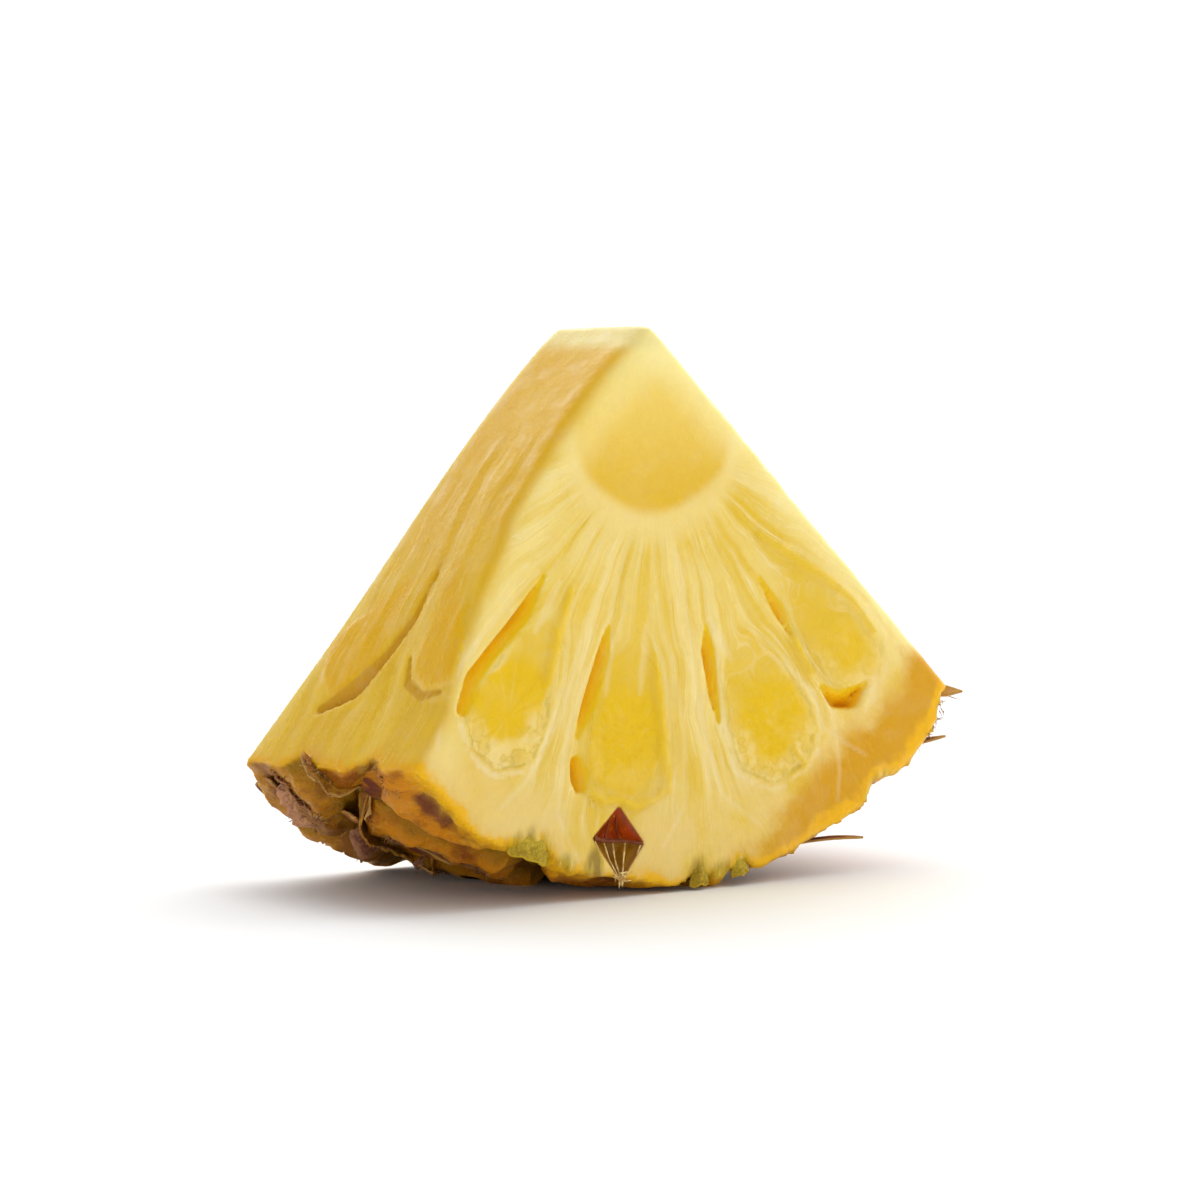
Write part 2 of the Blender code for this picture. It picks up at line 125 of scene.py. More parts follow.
# Gaps beside the fruitlets: (angle from straight down, distance from the core, width) along each,
# and its depth. In the side cuts a depth and a way down the cut stand for angle and distance.
FRONT_GAPS = [
    ([(-43.2, 25.6, 0.4), (-41.4, 31.4, 2.0), (-42.4, 38.6, 1.7), (-42.4, 42.5, 1.9),
      (-40.6, 46.4, 1.6)], 2.6),
    ([(-15.9, 26.7, 0.4), (-15.4, 30.4, 1.8), (-16.2, 36.5, 2.1), (-17.4, 41.7, 0.6)], 2.6),
    ([(-16.2, 44.8, 1.8), (-15.0, 46.4, 2.7), (-14.4, 47.6, 1.8)], 3.2),
    ([(17.9, 27.6, 0.4), (16.9, 31.0, 1.9), (15.8, 36.3, 1.4), (15.4, 40.7, 0.4)], 2.6),
    ([(40.6, 26.7, 0.4), (40.2, 32.4, 1.6), (39.2, 36.0, 0.6)], 2.0),
    ([(38.6, 45.2, 0.6), (39.6, 48.3, 2.3), (42.0, 50.0, 2.9), (45.1, 50.4, 1.0)], 3.0),
]
LEFT_GAPS = [
    ([(13.2, 28.0, 0.4), (14.2, 35.6, 1.1), (17.3, 41.0, 1.6), (21.5, 46.0, 2.8),
      (27.0, 49.5, 1.2)], 2.6),
    ([(11.5, 41.3, 0.5), (10.2, 44.6, 1.1), (6.4, 46.0, 1.1), (2.6, 45.1, 0.5)], 0.8),
]
RIGHT_GAPS = [
    ([(9.0, 28.0, 0.4), (8.2, 35.5, 1.9), (9.6, 42.5, 1.5), (12.0, 46.0, 0.5)], 2.6),
    ([(25.5, 32.0, 0.4), (25.0, 39.0, 1.7), (22.6, 46.0, 2.5), (19.0, 48.5, 0.8)], 2.6),
]
BACK_GAP_ANGLES = (-31.0, -12.0, 9.0, 27.0, 44.0)  # which the back's gap is turned to
BACK_GAP = ([(0.0, 29.0, 0.4), (1.2, 35.0, 1.9), (0.2, 40.5, 1.6), (-1.6, 45.0, 0.4)], 2.6)
GAP_RAMP = 0.9  # share of its width over which a gap's floor climbs to its far side
GAP_STEEP = 1.5  # a gap's greatest depth for its width
GAP_REACH = 7.0  # how far inside its face a gap is looked for
GAP_OUTSIDE = 3.0  # and how far outside
GAP_SMOOTHING = 0.7  # share by which the points in the gaps are smoothed in each round
SMOOTHING_ROUNDS = 6

# Fruitlets in the cuts: (angle, distance, width) down each, from its tip to its round bottom.
FRONT_FRUITLETS = [
    [(-36.0, 27.5, 1.0), (-34.0, 36.0, 8.2), (-33.0, 43.4, 12.6)],
    [(-8.0, 27.5, 3.0), (-7.0, 34.2, 9.4), (-6.7, 42.0, 13.2)],
    [(23.5, 26.0, 1.5), (26.0, 35.0, 9.5), (26.1, 45.2, 13.8)],
    [(46.5, 24.0, 1.5), (47.7, 32.0, 7.2), (47.3, 45.2, 11.4)],
]
LEFT_FRUITLETS = [
    [(18.0, 29.0, 1.5), (21.6, 35.5, 8.0), (24.8, 41.2, 13.6)],
    [(9.0, 28.0, 1.5), (6.5, 35.0, 7.0), (4.9, 40.3, 10.6)],
]
RIGHT_FRUITLETS = [
    [(13.0, 28.0, 1.5), (14.0, 35.0, 7.0), (15.0, 41.5, 9.5)],
    [(30.0, 31.0, 1.5), (31.0, 38.0, 7.0), (30.0, 44.0, 9.5)],
]
BACK_FRUITLET = [(0.0, 28.0, 1.5), (0.0, 36.0, 8.0), (0.0, 43.5, 11.5)]
BACK_FRUITLET_TURN = 9.0  # from each of the back cut's gaps to its fruitlet
# How lumpy each fruitlet's rim is, in the order of the lists above.
LUMPS = {"front": (1.0, 0.12, 0.75, 0.4), "left": (0.1, 0.35), "right": (0.6, 0.8), "back": (0.8,)}

# Pale wet strands that stand out of the front cut, as (angle, distance, width) along each; their
# near-white paint is partly a painted wet highlight.
STRANDS = [
    [(-38.2, 24.8, 0.3), (-36.9, 28.6, 1.4), (-36.6, 32.2, 0.3)],
    [(-16.4, 26.4, 0.3), (-14.3, 29.7, 1.2), (-12.9, 35.4, 0.3)],
    [(-3.1, 25.8, 0.3), (-3.2, 29.1, 1.0), (-3.9, 34.8, 0.3)],
    [(19.4, 26.9, 0.3), (20.7, 30.3, 1.2), (22.3, 33.6, 0.3)],
    [(42.6, 53.0, 0.4), (45.0, 52.6, 1.4), (47.4, 51.0, 0.4)],
    [(30.2, 27.5, 0.2), (31.5, 35.2, 0.5), (34.8, 40.4, 0.5), (36.6, 45.0, 0.4), (34.4, 50.4, 0.2)],
    [(38.3, 47.0, 0.3), (36.6, 51.3, 0.4), (33.8, 56.3, 0.3), (31.4, 59.5, 0.1)],
    [(35.2, 50.3, 0.3), (36.9, 54.1, 0.3), (38.6, 57.6, 0.1)],
    [(-45.6, 26.0, 0.2), (-46.4, 38.0, 0.5), (-45.0, 46.0, 0.5), (-40.5, 52.5, 0.2)],
    [(-23.6, 30.0, 0.2), (-22.6, 40.0, 0.5), (-23.8, 48.0, 0.3), (-27.0, 54.0, 0.1)],
    [(-19.6, 33.0, 0.2), (-19.3, 44.0, 0.4), (-17.4, 52.0, 0.3), (-12.5, 57.0, 0.1)],
    [(5.5, 30.0, 0.2), (6.8, 41.0, 0.4), (5.6, 50.0, 0.4), (1.6, 55.0, 0.1)],
    [(10.6, 31.0, 0.2), (11.5, 42.0, 0.5), (13.0, 50.0, 0.4), (18.4, 56.0, 0.1)],
]
# Creases in the front cut, in the same way.
CUT_CREASES = [
    [(-33.3, 24.8, 0.3), (-30.9, 30.2, 1.3), (-28.1, 36.7, 0.7)],
    [(-0.4, 29.7, 0.3), (1.3, 36.1, 1.1), (2.2, 43.0, 1.1), (2.4, 47.3, 1.4)],
    [(39.2, 36.0, 0.9), (38.6, 39.5, 0.8), (38.2, 42.5, 0.5)],
    [(49.8, 22.5, 0.3), (52.2, 28.5, 0.7), (54.2, 35.2, 0.9), (54.0, 41.1, 0.8), (52.4, 46.6, 0.4)],
    [(27.9, 49.0, 0.3), (28.6, 52.0, 0.5)],
    [(-13.6, 47.9, 0.3), (-10.4, 48.9, 0.7), (-7.0, 48.6, 0.6), (-3.5, 49.5, 0.8), (0.4, 48.4, 0.6),
     (2.6, 46.8, 0.9)],
]

# Fine relief of the cuts.
STRAND_HEIGHT = 0.25
CUT_CREASE_DEPTH = 0.8
CUT_WAVES = 0.06
LUMP_HEIGHT = 0.42  # lumps round the fruitlets' bottoms
OUTLINE_DEPTH = 0.30  # furrow round each fruitlet
OUTLINE_WIDTH = 0.45
FRUITLET_HOLLOW = 0.22
SEAM = (0.2, 1.6)  # ways from the left cut's edges, on both sides, where painted fibres set in
GRAIN_RADIUS = 38.0  # distance from the core where the fibres' coordinate is in millimetres
LEFT_GRAIN = 70.0  # keeps the left cut's fibres apart from the front's

# What stands for the distance to a gap or a mark on a cut where none is near.
NO_GAP = 50.0
NO_MARK = 20.0

# Green notches of the front's rim: arc, half width, and how far up the cut they reach.
RIM_GREEN = [
    (-26.6, 3.4, 3.6), (-20.6, 1.6, 2.2), (-15.8, 1.6, 4.6), (2.2, 1.9, 3.2), (5.8, 2.6, 2.4),
    (9.3, 1.8, 2.8), (35.4, 3.2, 2.2), (51.2, 1.6, 1.6),
]

# The flower cup that the front cut halves, as (angle, distance) from the core, anticlockwise.
CUP_CORNERS = [(-6.6, 49.3), (-10.7, 53.9), (-5.2, 59.2), (-1.6, 54.2)]
CUP_SLOPE = 0.7  # how its walls close in with depth
CUP_DEPTH = 3.2
CUP_ROUND = 1.0
CUP_REACH = (6.0, 7.0)  # depths behind the front cut where its paint ends
NO_CUP = 99.0  # what is added to its distance behind those
CUP_RIBS = (0.04, 0.27, 0.5, 0.7, 0.95)  # places on the way from the left corner to the right one
TUFT_HAIRS = 22
TUFT_SEED = 31

# The studio.
PICTURE = 1200
CORE_PIXEL = (655, 425)  # where the core's front point stands in the picture
WINDOW = (0.66, 0.36, 0.62)  # direction of the brightest light
FLOOR_COLOUR = (0.88, 0.88, 0.88)
FLOOR_REACH = 60000.0
FLOOR_GAP = 0.02  # how far thin pieces keep over z = 0, and the floor under it
SENSOR = 36.0  # width of the camera's sensor


def millimetres(name, description, default, low, high):
    """Size property that counts in millimetres."""
    return bpy.props.FloatProperty(
        name=name, description=f"{description}, in millimetres", default=default, min=low, max=high)


class WedgeSizes(bpy.types.PropertyGroup):
    voxel: millimetres("Fineness", "Spacing of the wedge's points", 0.49, 0.3, 2.0)
    edge_round: millimetres("Edge rounding", "How soft the knife's edges are", 0.9, 0.0, 3.0)
    left_edge_round: millimetres(
        "Left edge rounding", "How soft the front's left edge is", 3.2, 0.0, 8.0)
    fibre_height: millimetres("Fibre height", "Height of the flesh's fibres", 0.09, 0.0, 1.0)
    groove_depth: millimetres("Groove depth", "Depth of the grooves between eyes", 3.4, 0.0, 6.0)
    groove_width: millimetres("Groove width", "Half of the grooves' width", 3.4, 0.5, 8.0)
    bract_length: millimetres("Bract length", "Length of a dry bract", 10.5, 2.0, 25.0)
    bract_width: millimetres("Bract width", "Width of a dry bract", 7.0, 2.0, 20.0)


def tint(name, *value):
    """Colour property whose default is given as it looks on screen, from 0 to 255."""
    linear = [(part / 255) ** 2.2 for part in value]
    return bpy.props.FloatVectorProperty(
        name=name, description=f"Colour of the {name.lower()}", subtype="COLOR", size=3,
        default=linear, min=0.0, max=1.0)


class WedgeColours(bpy.types.PropertyGroup):
    flesh: tint("Flesh", 238, 209, 112)
    pale: tint("Pale fibres", 244, 219, 140)
    gold: tint("Golden fibres", 230, 190, 40)
    # The left cut's tints are deeper and darker than the front's: partly the cut's own deeper gold,
    # partly painted shade for the side that gets less light.
    left: tint("Left cut", 218, 173, 32)
    left_pale_shaded: tint("Left cut's pale fibres", 228, 188, 62)
    # Pale cream of the flesh's margins; along the cut edges it is painted light, the glow of light
    # through the thin edges.
    cream_and_edge_glow: tint("Cream margins", 252, 236, 160)
    # The top cut's summit, painted pale: a painted sheen of the light from above.
    crown_sheen: tint("Top cut", 236, 222, 150)
    core: tint("Core", 242, 209, 100)
    core_low: tint("Core's foot", 228, 184, 42)
    fruitlet: tint("Fruitlets", 234, 192, 0)
    ray: tint("Fruitlets' dark fibres", 214, 154, 0)
    left_rich_shaded: tint("Left cut's fruitlets", 222, 170, 0)
    left_gap_shaded: tint("Left cut's gaps", 196, 142, 10)
    lump: tint("Fruitlets' pale lumps", 248, 224, 150)
    gap: tint("Gaps", 246, 196, 30)
    # The gaps' floors: deeper and darker orange, painted shade of the hollow.
    gap_floor_shaded: tint("Gaps' floors", 236, 160, 4)
    # Near-white of the wet strands: partly their own pale colour, partly a painted wet highlight.
    strand: tint("Wet strands", 255, 240, 196)
    outer: tint("Flesh by the rind", 216, 158, 0)
    peach: tint("Flesh under the fruitlets", 240, 208, 126)
    lip: tint("Rind's cut edge", 244, 186, 6)
    plate: tint("Rind plates", 210, 134, 6)
    plate_dark: tint("Dark rind", 128, 66, 4)
    olive: tint("Olive rind", 140, 108, 6)
    purple: tint("Purple remnants", 102, 48, 34)
    fold: tint("Green folds", 188, 162, 42)
    cup_top: tint("Flower cup's upper half", 186, 68, 4)
    cup_low: tint("Flower cup's lower half", 160, 112, 18)
    bract: tint("Dry bracts", 122, 72, 28)
    bract_edge: tint("Bracts' pale edges", 196, 152, 84)
    paper: tint("Papery skin", 198, 142, 102)
    torn: tint("Torn golden skin", 206, 148, 44)


class StudioSettings(bpy.types.PropertyGroup):
    azimuth: bpy.props.FloatProperty(
        name="Camera azimuth", description="Camera's angle round the wedge",
        default=math.radians(-37.0), subtype="ANGLE")
    elevation: bpy.props.FloatProperty(
        name="Camera elevation", description="Camera's angle over the table",
        default=math.radians(4.0), subtype="ANGLE")
    distance: bpy.props.FloatProperty(
        name="Camera distance", description="From the core's front point",
        default=0.58, unit="LENGTH")
    pixel: bpy.props.FloatProperty(
        name="Pixel size", description="Size of a picture's 1200th at the core's front point",
        default=0.000129, unit="LENGTH", precision=6)
    horizon: bpy.props.FloatProperty(
        name="Backdrop", description="Brightness of the backdrop near the horizon",
        default=1.2, min=0.0)
    dim_sky: bpy.props.FloatProperty(
        name="Fill light", description="Brightness of the tent away from the window",
        default=0.52, min=0.0)
    bright_sky: bpy.props.FloatProperty(
        name="Window light", description="Brightness of the tent at the window, behind and right",
        default=2.6, min=0.0)


# Helpers for arrays of points, in millimetres.


def smooth(value, low=0.0, high=1.0):
    """Eased step from 0 at low to 1 at high, either way round."""
    share = np.clip((value - low) / (high - low), 0.0, 1.0)
    return share * share * (3.0 - 2.0 * share)


def round_max(first, second, size):
    """The larger of two distances, rounded where they meet."""
    near = np.maximum(size - np.abs(first - second), 0.0) / max(size, 1e-6)
    return np.maximum(first, second) + near * near * size * 0.25


def wavy(points, scale, seed):
    """Smooth noise from -1 to 1 at each point."""
    spots = np.asarray(points) / scale + (seed, -seed, 2.0 * seed)
    return np.array([noise.noise(spot) for spot in spots.tolist()])


def on_front(angle, distance):
    """Place in the front cut, across and up from the core's centre."""
    turn = math.radians(angle)
    return distance * math.sin(turn), -distance * math.cos(turn)


def flat_line(line, turned=0.0):
    """A line's (angle, distance, width) rows as (across, up, width), turned about the core."""
    return [(*on_front(angle + turned, far), wide) for angle, far, wide in line]


def line_distance(first, second, line):
    """Distance out of a line of changing width, the signed way off its middle, the share of the way
    down it, and its half width there."""
    best = np.full(len(first), np.inf)
    aside, down, half = np.zeros((3, len(first)))
    for number, ((a, b, wide), (c, d, wider)) in enumerate(zip(line[:-1], line[1:])):
        run, rise = c - a, d - b
        length = math.hypot(run, rise)
        share = np.clip(((first - a) * run + (second - b) * rise) / length ** 2, 0.0, 1.0)
        off = np.hypot(first - a - share * run, second - b - share * rise)
        reach = 0.5 * (wide + share * (wider - wide))
        closer = off - reach < best
        side = ((second - b) * run - (first - a) * rise) / length
        best = np.where(closer, off - reach, best)
        aside = np.where(closer, side, aside)
        down = np.where(closer, (number + share) / (len(line) - 1), down)
        half = np.where(closer, reach, half)
    return best, aside, down, half


def rind_radius(arc, depth):
    """Radius of the rind's barrel, without its relief."""
    left = smooth(arc, *LEFT_SWELL)
    high, place, width = LEFT_BULGE
    bulge = high * np.exp(-((arc - place) / width) ** 2)
    lip = RIND_LIP * smooth(depth / RIND_LIP_DEPTH)
    return RIND_RADIUS + lip + RIND_SWELL * depth * (1.0 + left) + bulge


def rind_place(arc, depth, height):
    """Point over the rind from its place along the arc, its depth and its height."""
    radius = float(rind_radius(arc, depth)) + height
    turn = arc / RIND_RADIUS
    return Vector((radius * math.sin(turn), FRONT_Y + depth, RIND_Z - radius * math.cos(turn)))


def rind_turn(arc):
    """Rotation from a piece's own frame, with its back to the rind and its root behind, to the
    rind's."""
    turn = arc / RIND_RADIUS
    aside = Vector((-math.cos(turn), 0.0, -math.sin(turn)))
    out = Vector((math.sin(turn), 0.0, -math.cos(turn)))
    return Matrix((aside, (0.0, 1.0, 0.0), out)).transposed()


def eye_centres():
    """Every eye's arc and depth, on the spirals and a little off them."""
    draw = random.Random(JITTER_SEED)
    centres = []
    for steep in range(-EYE_REACH, EYE_REACH + 1):
        for flat in range(-EYE_REACH, EYE_REACH + 1):
            arc = FIRST_EYE[0] + steep * STEEP_STEP[0] + flat * FLAT_STEP[0]
            depth = FIRST_EYE[1] + steep * STEEP_STEP[1] + flat * FLAT_STEP[1]
            beyond = max(arc - FIRST_EYE[0], 0.0)
            arc += EYE_SPREAD * beyond ** EYE_SPREAD_POWER
            depth += EYE_CLIMB * beyond
            arc += draw.uniform(-EYE_JITTER, EYE_JITTER)
            depth += draw.uniform(-EYE_JITTER, EYE_JITTER)
            centres.append((arc, depth))
    return np.array(centres)


EYES = eye_centres()


def eye_frame(arc, depth):
    """For each place of the rind: way to its plate's side, and its place against the plate's eye."""
    gap = np.hypot(arc[:, None] - EYES[None, :, 0], depth[:, None] - EYES[None, :, 1])
    order = np.argpartition(gap, 2, axis=1)[:, :2]
    rows = np.arange(len(arc))
    swap = gap[rows, order[:, 0]] > gap[rows, order[:, 1]]
    order[swap] = order[swap][:, ::-1]
    nearest, second = order[:, 0], order[:, 1]
    apart = np.hypot(*(EYES[nearest] - EYES[second]).T)
    to_side = (gap[rows, second] ** 2 - gap[rows, nearest] ** 2) / (2.0 * apart)
    return to_side, arc - EYES[nearest, 0], depth - EYES[nearest, 1]


def eye_relief(arc, depth, sizes):
    """Height of the rind over its barrel."""
    to_side, across, along = eye_frame(arc, depth)
    far = np.hypot(across, along)
    dimple = np.exp(-(far / DIMPLE_RADIUS) ** 2)
    crease = 0.5 - 0.5 * np.cos(CREASES * np.arctan2(across, along))
    height = sizes.groove_depth * (smooth(to_side / sizes.groove_width) - 1.0)
    height -= DIMPLE_DEPTH * dimple + CREASE_DEPTH * crease * (1.0 - dimple)
    height += FOLD_HEIGHT * np.exp(-((to_side - FOLD_PLACE) / FOLD_WIDTH) ** 2)
    return height - SCALE_TILT * along


class ReliefTable:
    """The rind's relief on a fine grid of arc and depth, read between its points."""

    STEP = 0.15
    ARCS = (-64.0, 64.0)
    DEPTHS = (-4.0, 50.0)

    def __init__(self, sizes):
        arcs = np.arange(*self.ARCS, self.STEP)
        depths = np.arange(*self.DEPTHS, self.STEP)
        self.heights = np.array([
            eye_relief(arcs, np.full(len(arcs), depth), sizes) for depth in depths
        ])

    def __call__(self, arc, depth):
        column = np.clip((arc - self.ARCS[0]) / self.STEP, 0, self.heights.shape[1] - 1.001)
        row = np.clip((depth - self.DEPTHS[0]) / self.STEP, 0, self.heights.shape[0] - 1.001)
        left, low = column.astype(int), row.astype(int)
        across, up = column - left, row - low
        table = self.heights
        first = table[low, left] * (1 - across) + table[low, left + 1] * across
        second = table[low + 1, left] * (1 - across) + table[low + 1, left + 1] * across
        return first * (1 - up) + second * up


# The wedge as distances, in millimetres: below 0 is inside.


def left_bow(along, depth):
    """How far the left cut bows out, from the way down it and the depth."""
    top, foot = LEFT_BOW_SPAN
    share = np.clip((along - top) / (foot - top), 0.0, 1.0)
    fade = np.clip(1.0 - depth / LEFT_BOW_DEPTH, 0.0, 1.0)
    return LEFT_BOW * 4.0 * share * (1.0 - share) * fade


def side_frame(x, depth, z, side):
    """Way down a side cut from the core's level, and the distance out of the cut."""
    upright, offset, turned = LEFT_CUT if side < 0 else RIGHT_CUT
    lean = math.radians(upright)
    along = side * x * math.sin(lean) - z * math.cos(lean)
    out = side * x * math.cos(lean) + z * math.sin(lean) - offset
    out = out + depth * math.tan(math.radians(turned))
    if side < 0:
        out = out - left_bow(along, depth)
    return along, out


def surfaces(points, relief, sizes):
    """Distance out of each surface, and the places in them that the features are given by."""
    x, depth, z = points[:, 0] - CORE_X, points[:, 1] - FRONT_Y, points[:, 2] - CORE_Z
    left_along, left = side_frame(x, depth, z, -1)
    right_along, right = side_frame(x, depth, z, 1)
    tilt = math.radians(TOP_CUT_TILT)
    top = (z - TOP_OVER_CORE) * math.cos(tilt) - (x - TOP_ASIDE) * math.sin(tilt)
    back = depth - BACK_DEPTH_AT_TOP - BACK_LEAN * (TOP_OVER_CORE - z)
    back = back / math.hypot(1.0, BACK_LEAN)
    cut = round_max(-depth, left, sizes.left_edge_round)
    for face in (right, top, back):
        cut = round_max(cut, face, sizes.edge_round)
    taut, way = SKIN_TAUT
    down = points[:, 2] - RIND_Z
    radius = np.hypot(points[:, 0], down)
    arc = np.arctan2(points[:, 0], -down) * RIND_RADIUS
    height = radius - rind_radius(arc, depth)
    return {
        "x": x, "z": z, "depth": depth, "front": -depth, "back": back, "left": left,
        "right": right, "top": top, "left_along": left_along, "right_along": right_along,
        "cut": cut, "arc": arc, "height": height,
        "rind": height - relief(arc, depth) * (taut + (1.0 - taut) * smooth(-cut, 0.0, way)),
    }


def face_gaps():
    """Every gap as (face, its two coordinates' names, line in millimetres, depth)."""
    gaps = [("front", "x", "z", flat_line(line), depth) for line, depth in FRONT_GAPS]
    gaps += [("left", "depth", "left_along", line, depth) for line, depth in LEFT_GAPS]
    gaps += [("right", "depth", "right_along", line, depth) for line, depth in RIGHT_GAPS]
    line, depth = BACK_GAP
    gaps += [("back", "x", "z", flat_line(line, middle), depth) for middle in BACK_GAP_ANGLES]
    return gaps


GAPS = face_gaps()


def gap_distance(first, second, sunk, line, depth, ramp):
    """Distance to a gap, whose floor climbs from one steep wall to its other side, and to its
    outline in the face."""
    outline, aside, _, half = line_distance(first, second, line)
    width = 2.0 * half
    depth = np.minimum(depth, GAP_STEEP * width)
    climb = np.clip((ramp * aside + half) / (GAP_RAMP * width), 0.0, 1.0)
    slope = depth / (GAP_RAMP * width)
    below = (sunk - depth * (1.0 - climb)) / np.sqrt(1.0 + slope * slope)
    return np.maximum(outline, below), outline


def gaps_distance(at):
    """Distance to the nearest gap of any face, and to its outline in the face."""
    best = np.full(len(at["x"]), NO_GAP)
    outlines = best.copy()
    for face, across, along, line, depth in GAPS:
        near = np.flatnonzero((at[face] > -GAP_REACH) & (at[face] < GAP_OUTSIDE))
        if not len(near):
            continue
        ramp = -1.0 if face == "left" else 1.0
        found, outline = gap_distance(
            at[across][near], at[along][near], -at[face][near], line, depth, ramp)
        best[near] = np.minimum(best[near], found)
        outlines[near] = np.minimum(outlines[near], outline)
    return best, outlines


def cup_outline(x, z):
    """Distance out of the flower cup's diamond in the front cut."""
    corners = [on_front(angle, far) for angle, far in CUP_CORNERS]
    sides = []
    for (a, b), (c, d) in zip(corners, corners[1:] + corners[:1]):
        run, rise = c - a, d - b
        sides.append(((x - a) * rise - (z - b) * run) / math.hypot(run, rise))
    return np.max(sides, axis=0)


def cup_distance(at):
    """Distance to the flower cup's hollow."""
    outline = cup_outline(at["x"], at["z"])
    return round_max(outline + CUP_SLOPE * at["depth"], at["depth"] - CUP_DEPTH, CUP_ROUND)


def wedge_distance(points, relief, sizes):
    """Distance to the whole wedge's surface, with its hollows and its foot on the floor."""
    at = surfaces(points, relief, sizes)
    whole = round_max(at["cut"], at["rind"], 0.5 * sizes.edge_round)
    whole = np.maximum(whole, -points[:, 2])
    hollow = np.minimum(gaps_distance(at)[0], cup_distance(at))
    return round_max(whole, -hollow, HOLLOW_ROUND)


def wedge_mesh(sizes, relief):
    """Points and faces of the wedge's surface, from its distances on a grid."""
    step = sizes.voxel
    reach = 3.0 * step
    low = np.array(CAD_BOX[0]) / MM - reach
    high = np.array(CAD_BOX[1]) / MM + reach
    xs, ys, zs = (np.arange(low[i], high[i], step) for i in range(3))
    grid_y, grid_z = (axis.ravel() for axis in np.meshgrid(ys, zs, indexing="ij"))
    field = np.empty((len(xs), len(ys), len(zs)), np.float32)
    for i, x in enumerate(xs):
        points = np.column_stack((np.full(len(grid_y), x), grid_y, grid_z))
        slab = wedge_distance(points, relief, sizes)
        field[i] = np.clip(slab, -reach, reach).reshape(len(ys), len(zs))
    volume = openvdb.FloatGrid(reach)
    volume.copyFromArray(field)
    points, quads = volume.convertToQuads(0.0)
    return points * step + low, quads[:, ::-1]


def largest_piece(points, quads):
    """The mesh without loose scraps."""
    label = np.arange(len(points))
    edges = np.concatenate([quads[:, [i, (i + 1) % 4]] for i in range(4)])
    while True:
        least = label.copy()
        np.minimum.at(least, edges[:, 0], label[edges[:, 1]])
        np.minimum.at(least, edges[:, 1], label[edges[:, 0]])
        least = least[least]
        if (least == label).all():
            break
        label = least
    names, counts = np.unique(label, return_counts=True)
    keep = label == names[counts.argmax()]
    renumbered = np.cumsum(keep) - 1
    return points[keep], renumbered[quads[keep[quads[:, 0]]]]


def smoothed(points, quads, share):
    """Points drawn towards the middle of their neighbours, by a share from 0 to 1."""
    starts = np.concatenate([quads[:, i] for i in (0, 1, 2, 3, 1, 2, 3, 0)])
    ends = np.concatenate([quads[:, i] for i in (1, 2, 3, 0, 0, 1, 2, 3)])
    count = np.bincount(starts, minlength=len(points))
    for _ in range(SMOOTHING_ROUNDS):
        middle = np.column_stack([
            np.bincount(starts, points[ends, axis], len(points)) / count for axis in range(3)])
        points = points + share[:, None] * (middle - points)
    return points


# What the surface shows, as values for each point.


def face_fruitlets(face):
    """The two coordinates' names and the fruitlets of a face."""
    if face == "front":
        return "x", "z", [flat_line(line) for line in FRONT_FRUITLETS]
    if face == "back":
        turns = [middle + BACK_FRUITLET_TURN for middle in BACK_GAP_ANGLES]
        return "x", "z", [flat_line(BACK_FRUITLET, turn) for turn in turns]
    if face == "left":
        return "depth", "left_along", LEFT_FRUITLETS
    if face == "right":
        return "depth", "right_along", RIGHT_FRUITLETS
    return "x", "z", []


def fruitlet_values(at):
    """Distance out of the nearest fruitlet, the way down it, the place against its bottom's centre,
    in half widths, with up as the second coordinate, and how lumpy it is."""
    edge = np.full(len(at["x"]), NO_MARK)
    lumpy = np.zeros(len(at["x"]))
    down = np.zeros(len(at["x"]))
    place = np.zeros((len(at["x"]), 3))
    facing = np.argmax([at[face] for face in CUT_FACES], axis=0)
    for number, face in enumerate(CUT_FACES):
        across, along, lines = face_fruitlets(face)
        up = 1.0 if along == "z" else -1.0
        for count, line in enumerate(lines):
            off, _, way, _ = line_distance(at[across], at[along], line)
            closer = (off < edge) & (facing == number)
            edge = np.where(closer, off, edge)
            down = np.where(closer, way, down)
            lumpy = np.where(closer, LUMPS[face][count % len(LUMPS[face])], lumpy)
            middle, centre, wide = line[-1]
            local = np.column_stack((
                (at[across] - middle) / (0.5 * wide), up * (at[along] - centre) / (0.5 * wide),
                np.full(len(off), 0.37 * count + 0.13 * number),
            ))
            place = np.where(closer[:, None], local, place)
    return edge, down, place, lumpy


def lines_distance(at, lines):
    """Distance out of the nearest of some lines in the front cut."""
    best = np.full(len(at["x"]), NO_MARK)
    for line in lines:
        best = np.minimum(best, line_distance(at["x"], at["z"], flat_line(line))[0])
    return np.maximum(best, smooth(at["depth"], 0.8, 2.0) * NO_MARK)


def left_turn(at):
    """Above 0 on the left cut and the top, below 0 on the others, in millimetres from the edge."""
    others = np.maximum(at["front"], np.maximum(at["right"], at["back"]))
    return np.maximum(at["left"], at["top"]) - others


